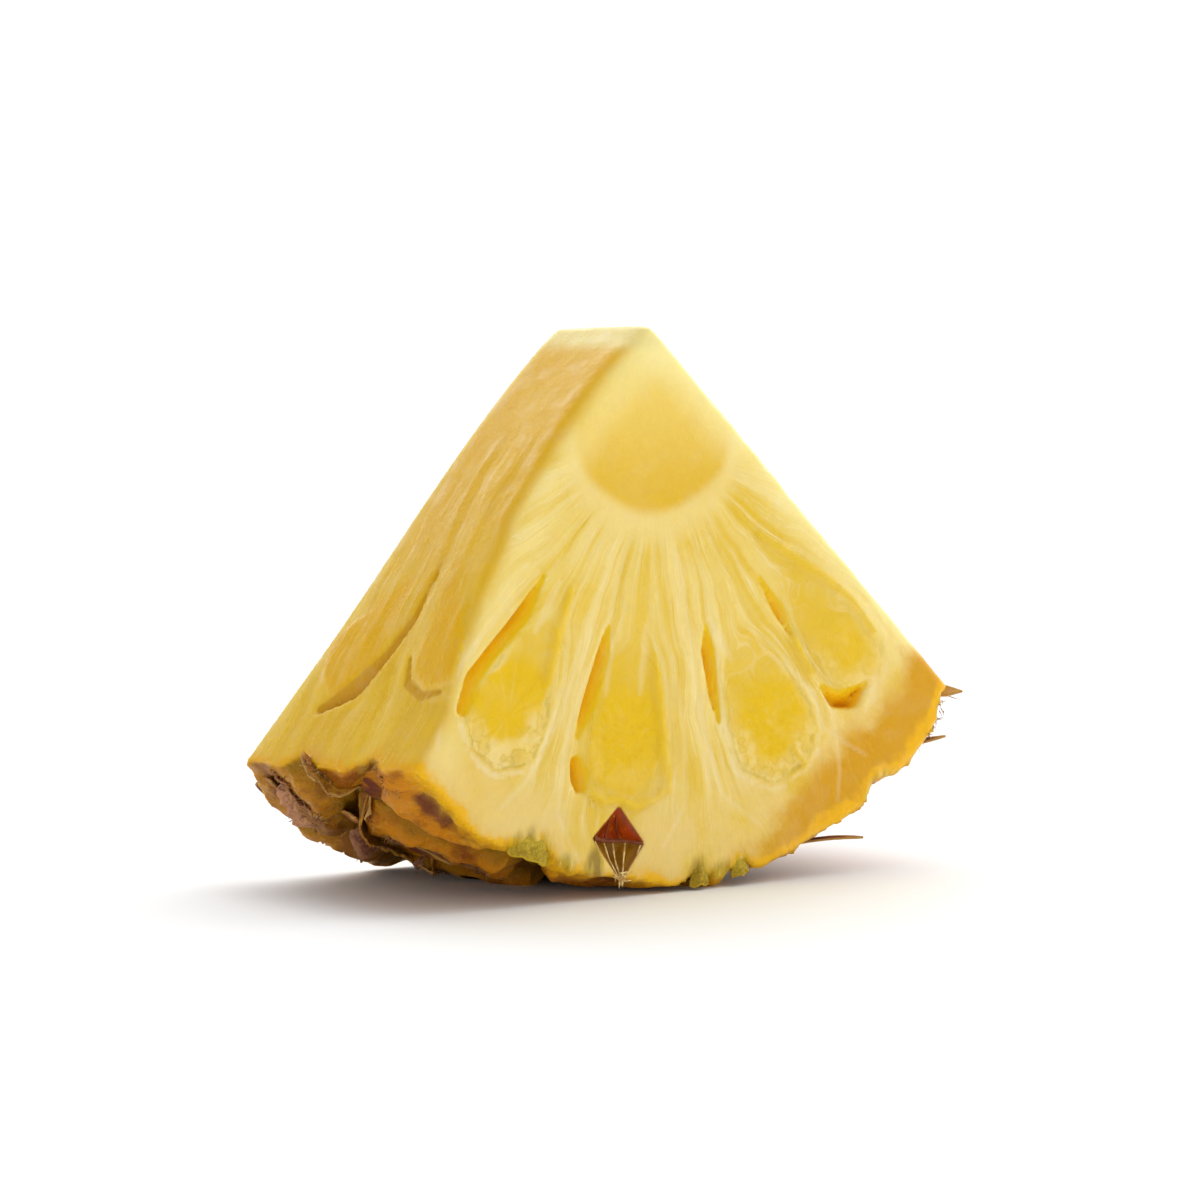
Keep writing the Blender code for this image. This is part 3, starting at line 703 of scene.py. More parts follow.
def grain(at):
    """Coordinates that follow the fibres: two across them, which bend round the fruitlets, and one
    along them."""
    angle, far = np.arctan2(at["x"], -at["z"]), np.hypot(at["x"], at["z"])
    across = angle * GRAIN_RADIUS
    for line in FRONT_FRUITLETS:
        middle, centre, wide = line[-1]
        aside = (angle - math.radians(middle)) * far
        off = np.hypot(aside / (0.5 * wide), (far - centre + 3.0) / 13.0)
        across = across - 0.8 * aside / np.maximum(off, 0.75) ** 2
    on_left = left_turn(at) > 0.0
    spots = np.column_stack((at["x"], at["depth"], at["z"]))
    across = np.where(on_left, at["depth"] + LEFT_GRAIN, across)
    across = across + 1.1 * wavy(spots, 7.0, 21.0) + 0.4 * wavy(spots, 2.6, 8.0)
    aside = np.where(on_left, 0.0, at["depth"])
    return np.column_stack((across, aside, np.where(on_left, at["left_along"], far)))


def rim_green(at):
    """How green the skin is in the notches of the front's rim, from 0 to 1."""
    green = np.zeros(len(at["x"]))
    for arc, wide, high in RIM_GREEN:
        way = np.hypot((at["arc"] - arc) / wide, np.minimum(at["height"], 0.0) / high)
        green = np.maximum(green, np.clip(1.5 - way, 0.0, 1.0))
    return green * smooth(at["depth"], 6.0, 2.5)


def cut_relief(points, values, sizes):
    """Height of the fibres, the strands and the fruitlets over the cut faces."""
    lines, far = values["grain"], values["far"]
    fine = wavy(lines * (1.0, 1.0, 0.09), 0.95, 3.0)
    coarse = wavy(lines * (1.0, 1.0, 0.07), 2.3, 7.0)
    broad = wavy(lines * (1.0, 0.7, 0.09), 4.6, 1.0)
    fibrous = smooth(far, 12.0, 17.0) * (1.0 - 0.5 * smooth(far, 48.0, 54.0))
    height = sizes.fibre_height * fibrous * (fine + 1.6 * coarse + 2.6 * broad)
    height = height + CUT_WAVES * wavy(points, 2.6, 5.0)
    edge, place = values["fruitlet"], values["fruitlet_place"]
    low = smooth(place[:, 1], 0.35, -0.45)
    lumps = wavy(points, 1.05, 11.0) + 0.6 * wavy(points, 0.6, 4.0)
    ring = smooth(edge, -3.4, -1.2) * smooth(edge, 0.1, -0.5) * low * values["lumpy"]
    height = height + LUMP_HEIGHT * ring * lumps
    height = height * smooth(abs(values["turn"]), 0.2, 1.8)
    furrow = OUTLINE_DEPTH * np.exp(-(edge / OUTLINE_WIDTH) ** 2) * (0.35 + 0.65 * low)
    height = height - furrow * values["lumpy"]
    inside = smooth(edge, 0.0, -1.2) * smooth(values["fruitlet_down"], 0.4, 0.9)
    height = height - FRUITLET_HOLLOW * inside
    height = height + STRAND_HEIGHT * smooth(values["strand"], 0.35, -0.5)
    return height - CUT_CREASE_DEPTH * smooth(values["crease"], 0.45, -0.3)


def rind_relief(points):
    """Height of the small bumps and cracks of the rind's skin."""
    bumps = wavy(points, 1.6, 2.0) * 0.22 + wavy(points * (1.0, 0.5, 1.0), 3.4, 9.0) * 0.40
    return bumps - CRACK_DEPTH * np.exp(-(wavy(points, 5.0, 13.0) / CRACK_WIDTH) ** 2)


def fine_relief(points, values, sizes):
    """Height of all the relief that is finer than the wedge's distances."""
    cut = (1.0 - values["rind"]) * smooth(values["gap"], -0.1, 0.6)
    cut = cut * smooth(values["cup"], -0.1, 0.5) * smooth(values["sunk"], 0.9, 0.4)
    height = cut_relief(points, values, sizes) * cut + rind_relief(points) * values["rind"]
    return height * smooth(points[:, 2], *FOOT)


def painted_values(at):
    """The values that the wedge's material reads, for every point."""
    to_side, across, along = eye_frame(at["arc"], at["depth"])
    edge, down, place, lumpy = fruitlet_values(at)
    return {
        "grain": grain(at),
        "far": np.hypot(at["x"], at["z"]),
        "below": -at["z"] / np.maximum(np.hypot(at["x"], at["z"]), 0.5),
        "turn": left_turn(at),
        "right_way": -at["right"],
        "top_way": -at["top"],
        "back_way": -at["back"],
        "green": rim_green(at),
        "rim": -at["rind"],
        "rind": smooth(at["rind"], -0.8, -0.2) * smooth(at["cut"], -0.05, -0.45),
        "sunk": -at["cut"],
        "gap": gaps_distance(at)[1],
        "fruitlet": edge,
        "fruitlet_down": down,
        "fruitlet_place": place,
        "lumpy": lumpy,
        "strand": lines_distance(at, STRANDS),
        "crease": lines_distance(at, CUT_CREASES),
        "groove": to_side,
        "eye": np.column_stack((across, along, np.zeros(len(across)))),
        "arc": at["arc"],
        "depth": at["depth"],
        "cup": cup_outline(at["x"], at["z"]) + NO_CUP * smooth(at["depth"], *CUP_REACH),
    }


# Meshes and their values.


def mesh_from(name, points, faces, material):
    """Mesh object from points in millimetres, shaded smooth."""
    mesh = bpy.data.meshes.new(name)
    mesh.from_pydata((np.array(points, float) * MM).tolist(), [], [tuple(face) for face in faces])
    mesh.validate()
    mesh.shade_smooth()
    mesh.materials.append(material)
    made = bpy.data.objects.new(name, mesh)
    bpy.context.scene.collection.objects.link(made)
    return made


def store(mesh, name, values):
    """Keep a number or a vector for each point of a mesh."""
    values = np.array(values, np.float32)
    kind, field = ("FLOAT_VECTOR", "vector") if values.ndim > 1 else ("FLOAT", "value")
    layer = mesh.attributes.new(name, kind, "POINT")
    layer.data.foreach_set(field, values.ravel())


def point_normals(mesh):
    """Direction out of the surface at each point."""
    normals = np.empty(len(mesh.vertices) * 3, np.float32)
    mesh.vertices.foreach_get("normal", normals)
    return normals.reshape(-1, 3)


# Node trees.


class Wire:
    """A node's output: arithmetic on it adds Math nodes."""

    def __init__(self, nodes, socket):
        self.nodes = nodes
        self.socket = socket

    def math(self, operation, *values):
        node = self.nodes.add("ShaderNodeMath", {"operation": operation})
        for place, value in enumerate(values):
            self.nodes.feed(node.inputs[place], value)
        return Wire(self.nodes, node.outputs[0])

    def __add__(self, other):
        return self.math("ADD", self, other)

    def __radd__(self, other):
        return self.math("ADD", other, self)

    def __sub__(self, other):
        return self.math("SUBTRACT", self, other)

    def __rsub__(self, other):
        return self.math("SUBTRACT", other, self)

    def __mul__(self, other):
        return self.math("MULTIPLY", self, other)

    def __rmul__(self, other):
        return self.math("MULTIPLY", other, self)

    def __abs__(self):
        return self.math("ABSOLUTE", self)

    def step(self, low, high):
        """Eased step from 0 at low to 1 at high, either way round."""
        node = self.nodes.add(
            "ShaderNodeMapRange", {"interpolation_type": "SMOOTHSTEP"},
            Value=self, **{"From Min": min(low, high), "From Max": max(low, high),
                           "To Min": float(low > high), "To Max": float(low < high)})
        return Wire(self.nodes, node.outputs[0])


class Nodes:
    """A tree of nodes, added to by name."""

    def __init__(self, tree):
        self.tree = tree
        tree.nodes.clear()

    def feed(self, socket, value):
        if isinstance(value, Wire):
            self.tree.links.new(value.socket, socket)
        elif socket.type == "RGBA":
            socket.default_value = (*value, 1.0)
        else:
            socket.default_value = value

    def add(self, kind, settings=None, **values):
        node = self.tree.nodes.new(kind)
        for setting, value in (settings or {}).items():
            setattr(node, setting, value)
        for name, value in values.items():
            matching = [socket for socket in node.inputs if socket.name == name and socket.enabled]
            self.feed(matching[0], value)
        return node

    def out(self, kind, settings=None, **values):
        """The first output in use of a new node."""
        node = self.add(kind, settings, **values)
        return Wire(self, [socket for socket in node.outputs if socket.enabled][0])

    def value(self, name):
        """A number that the mesh keeps for each point."""
        node = self.add("ShaderNodeAttribute", {"attribute_name": name})
        return Wire(self, node.outputs["Fac"])

    def vector(self, name):
        """Three numbers that the mesh keeps for each point."""
        node = self.add("ShaderNodeAttribute", {"attribute_name": name})
        return Wire(self, node.outputs["Vector"])

    def place(self):
        """The point's own place, in metres."""
        return Wire(self, self.add("ShaderNodeTexCoord").outputs["Object"])

    def part(self, vector, axis):
        """One number of a vector, by the name of its axis."""
        return Wire(self, self.add("ShaderNodeSeparateXYZ", Vector=vector).outputs[axis])

    def stretched(self, vector, *scale):
        return self.out("ShaderNodeMapping", {"vector_type": "POINT"}, Vector=vector, Scale=scale)

    def noise(self, vector, scale, detail=3.0, roughness=0.55):
        return self.out("ShaderNodeTexNoise", Vector=vector, Scale=scale, Detail=detail,
                        Roughness=roughness)

    def length(self, vector):
        return self.out("ShaderNodeVectorMath", {"operation": "LENGTH"}, Vector=vector)

    def mix(self, share, first, second):
        """Colour between two, by a share from 0 to 1."""
        return self.out("ShaderNodeMix", {"data_type": "RGBA", "clamp_factor": True},
                        Factor=share, A=first, B=second)

    def coats(self, base, *layers):
        """Colours laid over a base in turn, each as (share, colour)."""
        for share, colour in layers:
            base = self.mix(share, base, colour)
        return base

    def bump(self, height, distance, strength):
        return self.out("ShaderNodeBump", Height=height, Distance=distance,
                        Strength=strength)


def new_material(name):
    """An empty material and its nodes."""
    material = bpy.data.materials.new(name)
    material.use_nodes = True
    return material, Nodes(material.node_tree)


def finish_material(nodes, **values):
    """Principled shader with the given sockets; the spaces in their names are written as _."""
    named = {name.replace("_", " "): value for name, value in values.items()}
    shader = nodes.add("ShaderNodeBsdfPrincipled", **named)
    output = nodes.add("ShaderNodeOutputMaterial")
    nodes.tree.links.new(shader.outputs[0], output.inputs["Surface"])


def paint_core_and_fibres(nodes, tints, clouds):
    """Flesh from the core outwards, with its fibres; also gives their height and their bands."""
    far, below, lines = nodes.value("far"), nodes.value("below"), nodes.vector("grain")
    bands = nodes.noise(nodes.stretched(lines, 1.0, 0.7, 0.055), 0.23, 3.0, 0.5)
    strands = nodes.noise(nodes.stretched(lines, 1.0, 1.0, 0.075), 0.62, 4.0, 0.6)
    threads = nodes.noise(nodes.stretched(lines, 1.0, 1.0, 0.05), 1.25, 2.0, 0.5)
    thread = abs(threads - 0.5).step(0.024, 0.006) * strands.step(0.45, 0.6)
    seam = abs(nodes.value("turn")).step(*SEAM)
    fibrous = far.step(12.5, 17.0) * below.step(-0.1, 0.5) * seam
    outwards = far.step(57.0, 46.0) * 0.7 + 0.3
    core = nodes.mix((below * far + clouds * 3.0).step(-3.5, 12.0), tints.core, tints.core_low)
    core_edge = far + clouds * 1.6 + below.step(0.3, 1.0) * 1.6
    base = nodes.coats(
        tints.flesh,
        (clouds.step(0.40, 0.66) * 0.6, tints.gold),
        (bands.step(0.50, 0.63) * fibrous * outwards * 0.7, tints.pale),
        (bands.step(0.48, 0.38) * fibrous * outwards * 0.65, tints.gold),
        (strands.step(0.53, 0.66) * fibrous * outwards * 0.55, tints.pale),
        (strands.step(0.46, 0.35) * fibrous * outwards * 0.6, tints.gold),
        (thread * fibrous * outwards * 0.4, tints.strand),
        (far.step(46.0, 53.0) * clouds.step(0.62, 0.45) * 0.65, tints.peach),
        (far.step(17.0, 13.5) * 0.6, tints.pale),
        (core_edge.step(14.6, 12.6) * 0.95, core),
        # the flesh above the core gets paler towards the top, in the cream of the margins
        ((below * far).step(-3.0, -11.0) * 0.6, tints.cream_and_edge_glow),
    )
    return base, (strands * 0.7 + threads * 0.3) * fibrous, bands, strands


def paint_left_cut(nodes, base, tints, clouds, bands, strands):
    """The left cut is a deeper, darker gold, which fades out round the front's left edge: partly its
    own colour, partly painted shade of the side that gets less light.
    """
    seam = abs(nodes.value("turn")).step(*SEAM)
    turn = nodes.value("turn") + clouds * 2.0 - 1.0
    gold = nodes.coats(
        tints.left,
        (bands.step(0.42, 0.62) * seam * 0.6, tints.left_pale_shaded),
        (strands.step(0.52, 0.68) * seam * 0.4, tints.left_pale_shaded),
        (clouds.step(0.5, 0.62) * 0.35, tints.gold),
        # more saturated and darker towards the core: painted shade that takes back the light coming
        # through the thin top
        (nodes.value("far").step(44.0, 16.0) * 0.7, tints.left_rich_shaded),
        # pale along the back edge, in the same painted edge light as the margins
        (nodes.value("back_way").step(3.0, 0.3) * 0.4, tints.cream_and_edge_glow),
    )
    return nodes.coats(
        base,
        # pale band on the front beside its left edge: a painted highlight where the rounded edge
        # catches more light
        (abs(turn + 3.2).step(4.4, 0.5) * 0.3, tints.cream_and_edge_glow),
        (turn.step(-2.0, 1.8) * 0.97, gold),
    )


def paint_margins(nodes, base, tints, clouds):
    """Pale edge along the right cut and the top: painted light, standing in for light glowing through
    the thin edges; and the top cut's summit, paler as a painted sheen.
    """
    front = nodes.value("turn").step(1.0, -3.0) * nodes.value("depth").step(5.0, 0.5)
    height = nodes.part(nodes.place(), "Z") * (1.0 / MM)
    return nodes.coats(
        base,
        # cream along the right cut: painted light glowing through the thin edge
        ((nodes.value("right_way") + clouds * 3.0).step(8.0, 1.5) * front * 0.8, tints.cream_and_edge_glow),
        # cream along the top edge: painted light glowing through the thin top
        (nodes.value("top_way").step(3.0, 0.0) * front * 0.7, tints.cream_and_edge_glow),
        # the top cut's summit, paler: painted sheen
        ((height + clouds).step(70.4, 72.6) * 0.85, tints.crown_sheen),
    )


def paint_outer_flesh(nodes, base, tints, clouds, fine):
    """Golden flesh along the rind, wide and fuzzy on the right, and the rind's bright cut edge."""
    broad = nodes.noise(nodes.place(), 240.0, 4.0, 0.6)
    right = (nodes.value("arc") + broad * 24.0 - 12.0).step(4.0, 28.0)
    way = nodes.value("rim") + fine * 1.6 + clouds * 3.0 + broad * 5.0 - 4.8
    inner = right * nodes.value("depth").step(8.0, 1.0)
    # on the left cut the bright lip turns to the darker flesh by the rind: partly painted shade, like
    # the left cut's tints
    lip = nodes.mix(nodes.value("turn").step(-1.0, 2.0) * 0.7, tints.lip, tints.outer)
    return nodes.coats(
        base,
        ((way - inner * 8.0).step(3.2, -1.6) * (0.65 + inner * 0.33), tints.outer),
        ((way - right * 1.2).step(1.7, 0.3) * 0.95, lip),
    )


def paint_fruitlets(nodes, base, tints):
    """Saturated middles with fibres from their centres, and pale lumps round their bottoms."""
    down, lumpy = nodes.value("fruitlet_down"), nodes.value("lumpy")
    place = nodes.vector("fruitlet_place")
    outwards = nodes.out("ShaderNodeVectorMath", {"operation": "NORMALIZE"}, Vector=place)
    rays = nodes.noise(outwards, 7.5, 5.0, 0.7)
    drift = nodes.noise(nodes.place(), 190.0, 3.0)
    spots = nodes.noise(nodes.place(), 520.0, 4.0, 0.6)
    lumps = nodes.noise(nodes.place(), 430.0, 2.0, 0.5)
    edge = nodes.value("fruitlet") + drift * 3.2 + spots * 1.4 - 2.3
    inside = edge.step(0.3, -1.4)
    span = nodes.length(place) + spots * 0.8 - 0.4
    rich = inside * down.step(0.02, 0.5) * span.step(1.8, 0.4)
    low = nodes.part(place, "Y").step(0.35, -0.3) * down.step(0.6, 0.85)
    ring = edge.step(-4.2, -1.8) * edge.step(0.1, -0.5) * low * lumpy
    broken = spots.step(0.36, 0.56)
    outline = abs(edge + 0.05).step(0.42, 0.10) * down.step(0.35, 0.75) * lumpy * broken
    halo = abs(edge - 1.0).step(0.7, 0.1) * down.step(0.4, 0.85) * lumpy * broken
    return nodes.coats(
        base,
        (inside * down.step(0.1, 0.6) * 0.65, tints.gold),
        ((rich + spots * 0.7 - 0.25).step(0.2, 0.7) * inside, tints.fruitlet),
        (rays.step(0.52, 0.66) * rich * 0.3, tints.ray),
        (rays.step(0.45, 0.34) * rich * 0.25, tints.lump),
        (ring * 0.45, tints.pale),
        (ring * lumps.step(0.47, 0.58) * 0.6, tints.lump),
        (ring * abs(lumps - 0.45).step(0.04, 0.0) * 0.3, tints.fold),
        # the left cut's fruitlets in their darker copy, partly painted shade
        (inside * nodes.value("turn").step(0.0, 1.5) * 0.95, tints.left_rich_shaded),
        (outline * 0.45, tints.fold),
        (halo * 0.35, tints.strand),
    )


def paint_lines(nodes, base, tints):
    """Wet strands, whose near-white is partly a painted wet highlight, creases, and the gaps with a
    warm floor, painted darker with depth as painted shade.
    """
    sunk = nodes.value("sunk")
    inner = nodes.coats(
        tints.fruitlet,
        (sunk.step(0.1, 1.0), tints.gap),
        # deeper in the gap, darker orange: painted shade
        (sunk.step(1.1, 2.6), tints.gap_floor_shaded),
        # the left cut's gaps in their darker copy, partly painted shade
        (nodes.value("turn").step(-1.0, 2.0) * 0.8, tints.left_gap_shaded),
    )
    return nodes.coats(
        base,
        # the strands' near-white: partly their own pale colour, partly a painted wet highlight
        (nodes.value("strand").step(0.5, -0.45) * 0.42, tints.strand),
        (nodes.value("crease").step(0.7, -0.3) * 0.8, tints.fruitlet),
        (nodes.value("gap").step(0.3, -0.1), inner),
    )


def paint_folds(nodes, base, tints):
    """Green skin in the notches of the front's rim, in stripes that run up the cut."""
    stripes = nodes.noise(nodes.stretched(nodes.place(), 1.0, 1.0, 0.22), 900.0, 3.0)
    skin = nodes.coats(
        tints.fold,
        (stripes.step(0.46, 0.62), tints.olive),
        (stripes.step(0.44, 0.34) * 0.7, tints.pale),
    )
    green = nodes.value("green") + stripes * 0.5 - 0.25
    return nodes.mix(green.step(0.1, 0.9) * 0.8, base, skin)


def paint_rind(nodes, tints):
    """Leathery plates: orange and brown, olive by the grooves, with purple dry remnants."""
    place, depth = nodes.place(), nodes.value("depth")
    patches = nodes.noise(place, 130.0, 5.0, 0.6)
    streaks = nodes.noise(nodes.stretched(place, 1.0, 0.3, 1.0), 420.0, 5.0, 0.7)
    dry = nodes.noise(nodes.stretched(place, 1.0, 0.35, 1.0), 300.0, 4.0, 0.65)
    specks = nodes.noise(place, 1100.0, 3.0, 0.7)
    behind = (depth + streaks * 16.0 - 8.0).step(16.0, 30.0)
    fringe = nodes.value("groove") + patches * 5.0 - 2.5
    from_eye = nodes.length(nodes.vector("eye")) + dry * 7.0
    return nodes.coats(
        tints.plate,
        (patches.step(0.42, 0.62) * 0.85, tints.plate_dark),
        (streaks.step(0.52, 0.68) * 0.5, tints.plate_dark),
        (streaks.step(0.46, 0.32) * 0.55, tints.torn),
        (behind * 0.45, tints.olive),
        (behind * patches.step(0.42, 0.56) * 0.4, tints.plate_dark),
        (fringe.step(2.8, 0.6) * 0.75, tints.olive),
        (fringe.step(1.0, -0.2) * 0.6, tints.plate_dark),
        (from_eye.step(7.4, 5.4) * 0.85, tints.purple),
        (specks.step(0.60, 0.72) * 0.4, tints.bract_edge),
        (depth.step(5.0, 0.4) * patches.step(0.66, 0.4) * 0.8, tints.lip),
    )


def paint_cup(nodes, base, tints):
    """Walls of the flower cup: red-brown over the dark bar, olive-brown under it."""
    streaks = nodes.noise(nodes.stretched(nodes.place(), 1.0, 1.0, 0.25), 1000.0, 3.0, 0.6)
    edge = nodes.value("cup")
    walls = nodes.coats(
        tints.cup_top,
        (nodes.value("far").step(53.6, 54.4), tints.cup_low),
        (streaks.step(0.50, 0.64) * 0.6, tints.plate_dark),
        (streaks.step(0.44, 0.34) * 0.4, tints.torn),
        (edge.step(-0.7, -0.1) * 0.5, tints.purple),
    )
    return nodes.mix(edge.step(0.16, -0.1), base, walls)


def wedge_material(tints):
    """Wet flesh with its core, fibres and fruitlets, and the rind round it."""
    material, nodes = new_material("pineapple_flesh_and_rind")
    place, rind = nodes.place(), nodes.value("rind")
    clouds, fine = nodes.noise(place, 95.0, 3.0), nodes.noise(place, 800.0, 4.0, 0.6)
    base, fibres, bands, strands = paint_core_and_fibres(nodes, tints, clouds)
    base = paint_left_cut(nodes, base, tints, clouds, bands, strands)
    base = paint_fruitlets(nodes, base, tints)
    base = paint_margins(nodes, base, tints, clouds)
    base = paint_outer_flesh(nodes, base, tints, clouds, fine)
    base = paint_lines(nodes, base, tints)
    base = paint_folds(nodes, base, tints)
    base = nodes.mix(rind, base, paint_rind(nodes, tints))
    base = paint_cup(nodes, base, tints)
    wet = nodes.noise(place, 260.0, 3.0)
    beads = nodes.noise(place, 1500.0, 2.0)
    creases = nodes.noise(nodes.stretched(place, 1.0, 0.5, 1.0), 420.0, 5.0, 0.7)
    relief = (fibres * 1.2 + fine * 0.35 + beads * 0.15) * (1.0 - rind) + creases * rind * 4.5
    finish_material(
        nodes, Base_Color=base, Roughness=0.24 + wet.step(0.35, 0.65) * 0.2 + rind * 0.1,
        Normal=nodes.bump(relief, 0.0003, 0.8), IOR=1.4, Specular_IOR_Level=0.3,
        Subsurface_Weight=0.35, Subsurface_Radius=(1.0, 0.72, 0.25), Subsurface_Scale=0.0022,
        Coat_Weight=wet.step(0.5, 0.62) * (1.0 - rind) * 0.5, Coat_Roughness=0.12)
    return material


def bract_material(tints):
    """Dry papery skin, pale and frayed at its edges."""
    material, nodes = new_material("dry_bract")
    place = nodes.place()
    streaks = nodes.noise(nodes.stretched(place, 1.0, 0.2, 1.0), 900.0, 4.0, 0.65)
    patches = nodes.noise(place, 200.0, 3.0)
    base = nodes.coats(
        tints.bract,
        (streaks.step(0.35, 0.65), tints.purple),
        (patches.step(0.48, 0.62) * 0.6, tints.plate),
        ((nodes.value("edge") + patches * 0.5).step(0.95, 1.25) * 0.8, tints.bract_edge),
    )
    finish_material(nodes, Base_Color=base, Roughness=0.6 + patches * 0.2,
                    Normal=nodes.bump(streaks, 0.0005, 1.0), Specular_IOR_Level=0.12)
    return material


def skin_material():
    """Torn skin in the tints that its points carry, from paper to green, with pale thin edges."""
    material, nodes = new_material("torn_skin")
    place = nodes.place()
    streaks = nodes.noise(nodes.stretched(place, 1.0, 0.45, 1.0), 700.0, 5.0, 0.7)
    patches = nodes.noise(place, 260.0, 4.0, 0.6)
    specks = nodes.noise(place, 2600.0, 2.0, 0.6)
    shade, hem = nodes.vector("shade"), nodes.vector("hem")
    base = nodes.coats(
        nodes.vector("tint"),
        (patches.step(0.42, 0.62) * 0.8, shade),
        (streaks.step(0.52, 0.66) * 0.55, shade),
        (specks.step(0.53, 0.66) * 0.5, shade),
        (specks.step(0.46, 0.34) * 0.4, hem),
        ((nodes.value("edge") + streaks * 0.5).step(0.98, 1.25) * 0.7, hem),
    )
    finish_material(nodes, Base_Color=base, Roughness=0.5 + patches * 0.3,
                    Normal=nodes.bump(streaks, 0.0005, 0.9), Specular_IOR_Level=0.3)
    return material


def strand_material(name, first, second):
    """Strands in two tints."""
    material, nodes = new_material(name)
    streaks = nodes.noise(nodes.place(), 1100.0, 3.0)
    base = nodes.mix(streaks.step(0.35, 0.65), first, second)
    finish_material(nodes, Base_Color=base, Roughness=0.42 + streaks * 0.25,
                    Specular_IOR_Level=0.3)
    return material


# Geometry Nodes.


def new_tree(name, sockets):
    """Geometry tree with a geometry in and out, and named inputs as (name, kind, default)."""
    tree = bpy.data.node_groups.new(name, "GeometryNodeTree")
    tree.interface.new_socket("Geometry", in_out="OUTPUT", socket_type="NodeSocketGeometry")
    tree.interface.new_socket("Geometry", in_out="INPUT", socket_type="NodeSocketGeometry")
    for title, kind, default in sockets:
        socket = tree.interface.new_socket(title, in_out="INPUT", socket_type=kind)
        if default is not None:
            socket.default_value = default
    nodes = Nodes(tree)
    given = nodes.add("NodeGroupInput")
    inputs = {socket.name: Wire(nodes, socket) for socket in given.outputs if socket.name}
    return tree, nodes, inputs


def end_tree(nodes, geometry, material):
    """Realize the instances, set the material and close the tree."""
    real = nodes.out("GeometryNodeRealizeInstances", Geometry=geometry)
    done = nodes.out("GeometryNodeSetMaterial", Geometry=real, Material=material)
    nodes.tree.links.new(done.socket, nodes.add("NodeGroupOutput").inputs[0])


def scatter_tree():
    """One piece at each point, turned and sized by what the point says and a little at random."""
    tree, nodes, given = new_tree("scatter_pieces", [
        ("Piece", "NodeSocketObject", None), ("Material", "NodeSocketMaterial", None),
        ("Spread", "NodeSocketFloat", 0.25), ("Seed", "NodeSocketInt", 1)])
    piece = nodes.add("GeometryNodeObjectInfo", Object=given["Piece"])
    turn = nodes.out("GeometryNodeInputNamedAttribute", {"data_type": "FLOAT_VECTOR"}, Name="turn")
    size = nodes.out("GeometryNodeInputNamedAttribute", {"data_type": "FLOAT_VECTOR"}, Name="size")
    vary = nodes.out("FunctionNodeRandomValue", {"data_type": "FLOAT"},
                     Min=1.0 - given["Spread"], Max=1.0 + given["Spread"], Seed=given["Seed"])
    scale = nodes.out("ShaderNodeVectorMath", {"operation": "SCALE"}, Vector=size, Scale=vary)
    spots = nodes.out("GeometryNodeMeshToPoints", Mesh=given["Geometry"])
    placed = nodes.out("GeometryNodeInstanceOnPoints", Points=spots,
                       Instance=Wire(nodes, piece.outputs["Geometry"]), Rotation=turn, Scale=scale)
    end_tree(nodes, placed, given["Material"])
    return tree


def strand_tree():
    """A round strand along each line of edges, as thick as its points say."""
    tree, nodes, given = new_tree("strands_along_lines", [
        ("Material", "NodeSocketMaterial", None), ("Thickness", "NodeSocketFloat", 1.0),
        ("Sides", "NodeSocketInt", 6)])
    radius = nodes.out("GeometryNodeInputNamedAttribute", {"data_type": "FLOAT"}, Name="thick")
    line = nodes.out("GeometryNodeMeshToCurve", Mesh=given["Geometry"])
    ring = nodes.out("GeometryNodeCurvePrimitiveCircle", Resolution=given["Sides"],
                     Radius=given["Thickness"])
    tube = nodes.add("GeometryNodeCurveToMesh", Curve=line, Scale=radius,
                     **{"Profile Curve": ring, "Fill Caps": True})
    end_tree(nodes, Wire(nodes, tube.outputs["Mesh"]), given["Material"])
    return tree


def grown(name, seeds, tree, values):
    """Run a tree on an object and keep the result as one plain mesh."""
    modifier = seeds.modifiers.new("grow", "NODES")
    modifier.node_group = tree
    for socket in tree.interface.items_tree:
        if socket.in_out == "INPUT" and socket.name in values:
            modifier[socket.identifier] = values[socket.name]
    evaluated = seeds.evaluated_get(bpy.context.evaluated_depsgraph_get())
    mesh = bpy.data.meshes.new_from_object(evaluated)
    bpy.data.objects.remove(seeds, do_unlink=True)
    if not mesh.polygons:
        raise RuntimeError(f"{name} came out empty")
    mesh.name = name
    mesh.shade_smooth()
    for point in mesh.vertices:
        point.co.z = max(point.co.z, FLOOR_GAP * MM)
    made = bpy.data.objects.new(name, mesh)
    bpy.context.scene.collection.objects.link(made)
    return made


def seeds_from(name, points, edges, values):
    """Object of points in millimetres for a tree to grow from."""
    mesh = bpy.data.meshes.new(f"{name}_seeds")
    mesh.from_pydata([tuple(point * MM) for point in points], edges, [])
    for key, value in values.items():
        store(mesh, key, value)
    seeds = bpy.data.objects.new(f"{name}_seeds", mesh)
    bpy.context.scene.collection.objects.link(seeds)
    return seeds


def grown_strands(name, paths, material, sides=6):
    """Round strands from (points, radii) pairs in millimetres."""
    points, edges, radii = [], [], []
    for path, thick in paths:
        start = len(points)
        points += path
        radii += [radius * MM for radius in thick]
        edges += [(start + i, start + i + 1) for i in range(len(path) - 1)]
    seeds = seeds_from(name, points, edges, {"thick": radii})
    return grown(name, seeds, strand_tree(), {"Material": material, "Sides": sides})


def scattered(name, prototype, spots, turns, sizes, spread, seed):
    """Copies of a piece at spots in millimetres, with their turns and sizes."""
    seeds = seeds_from(name, spots, [], {"turn": turns, "size": sizes})
    made = grown(name, seeds, scatter_tree(), {
        "Piece": prototype, "Material": prototype.active_material, "Spread": spread, "Seed": seed})
    bpy.data.objects.remove(prototype, do_unlink=True)
    return made


# Sheets and strands.


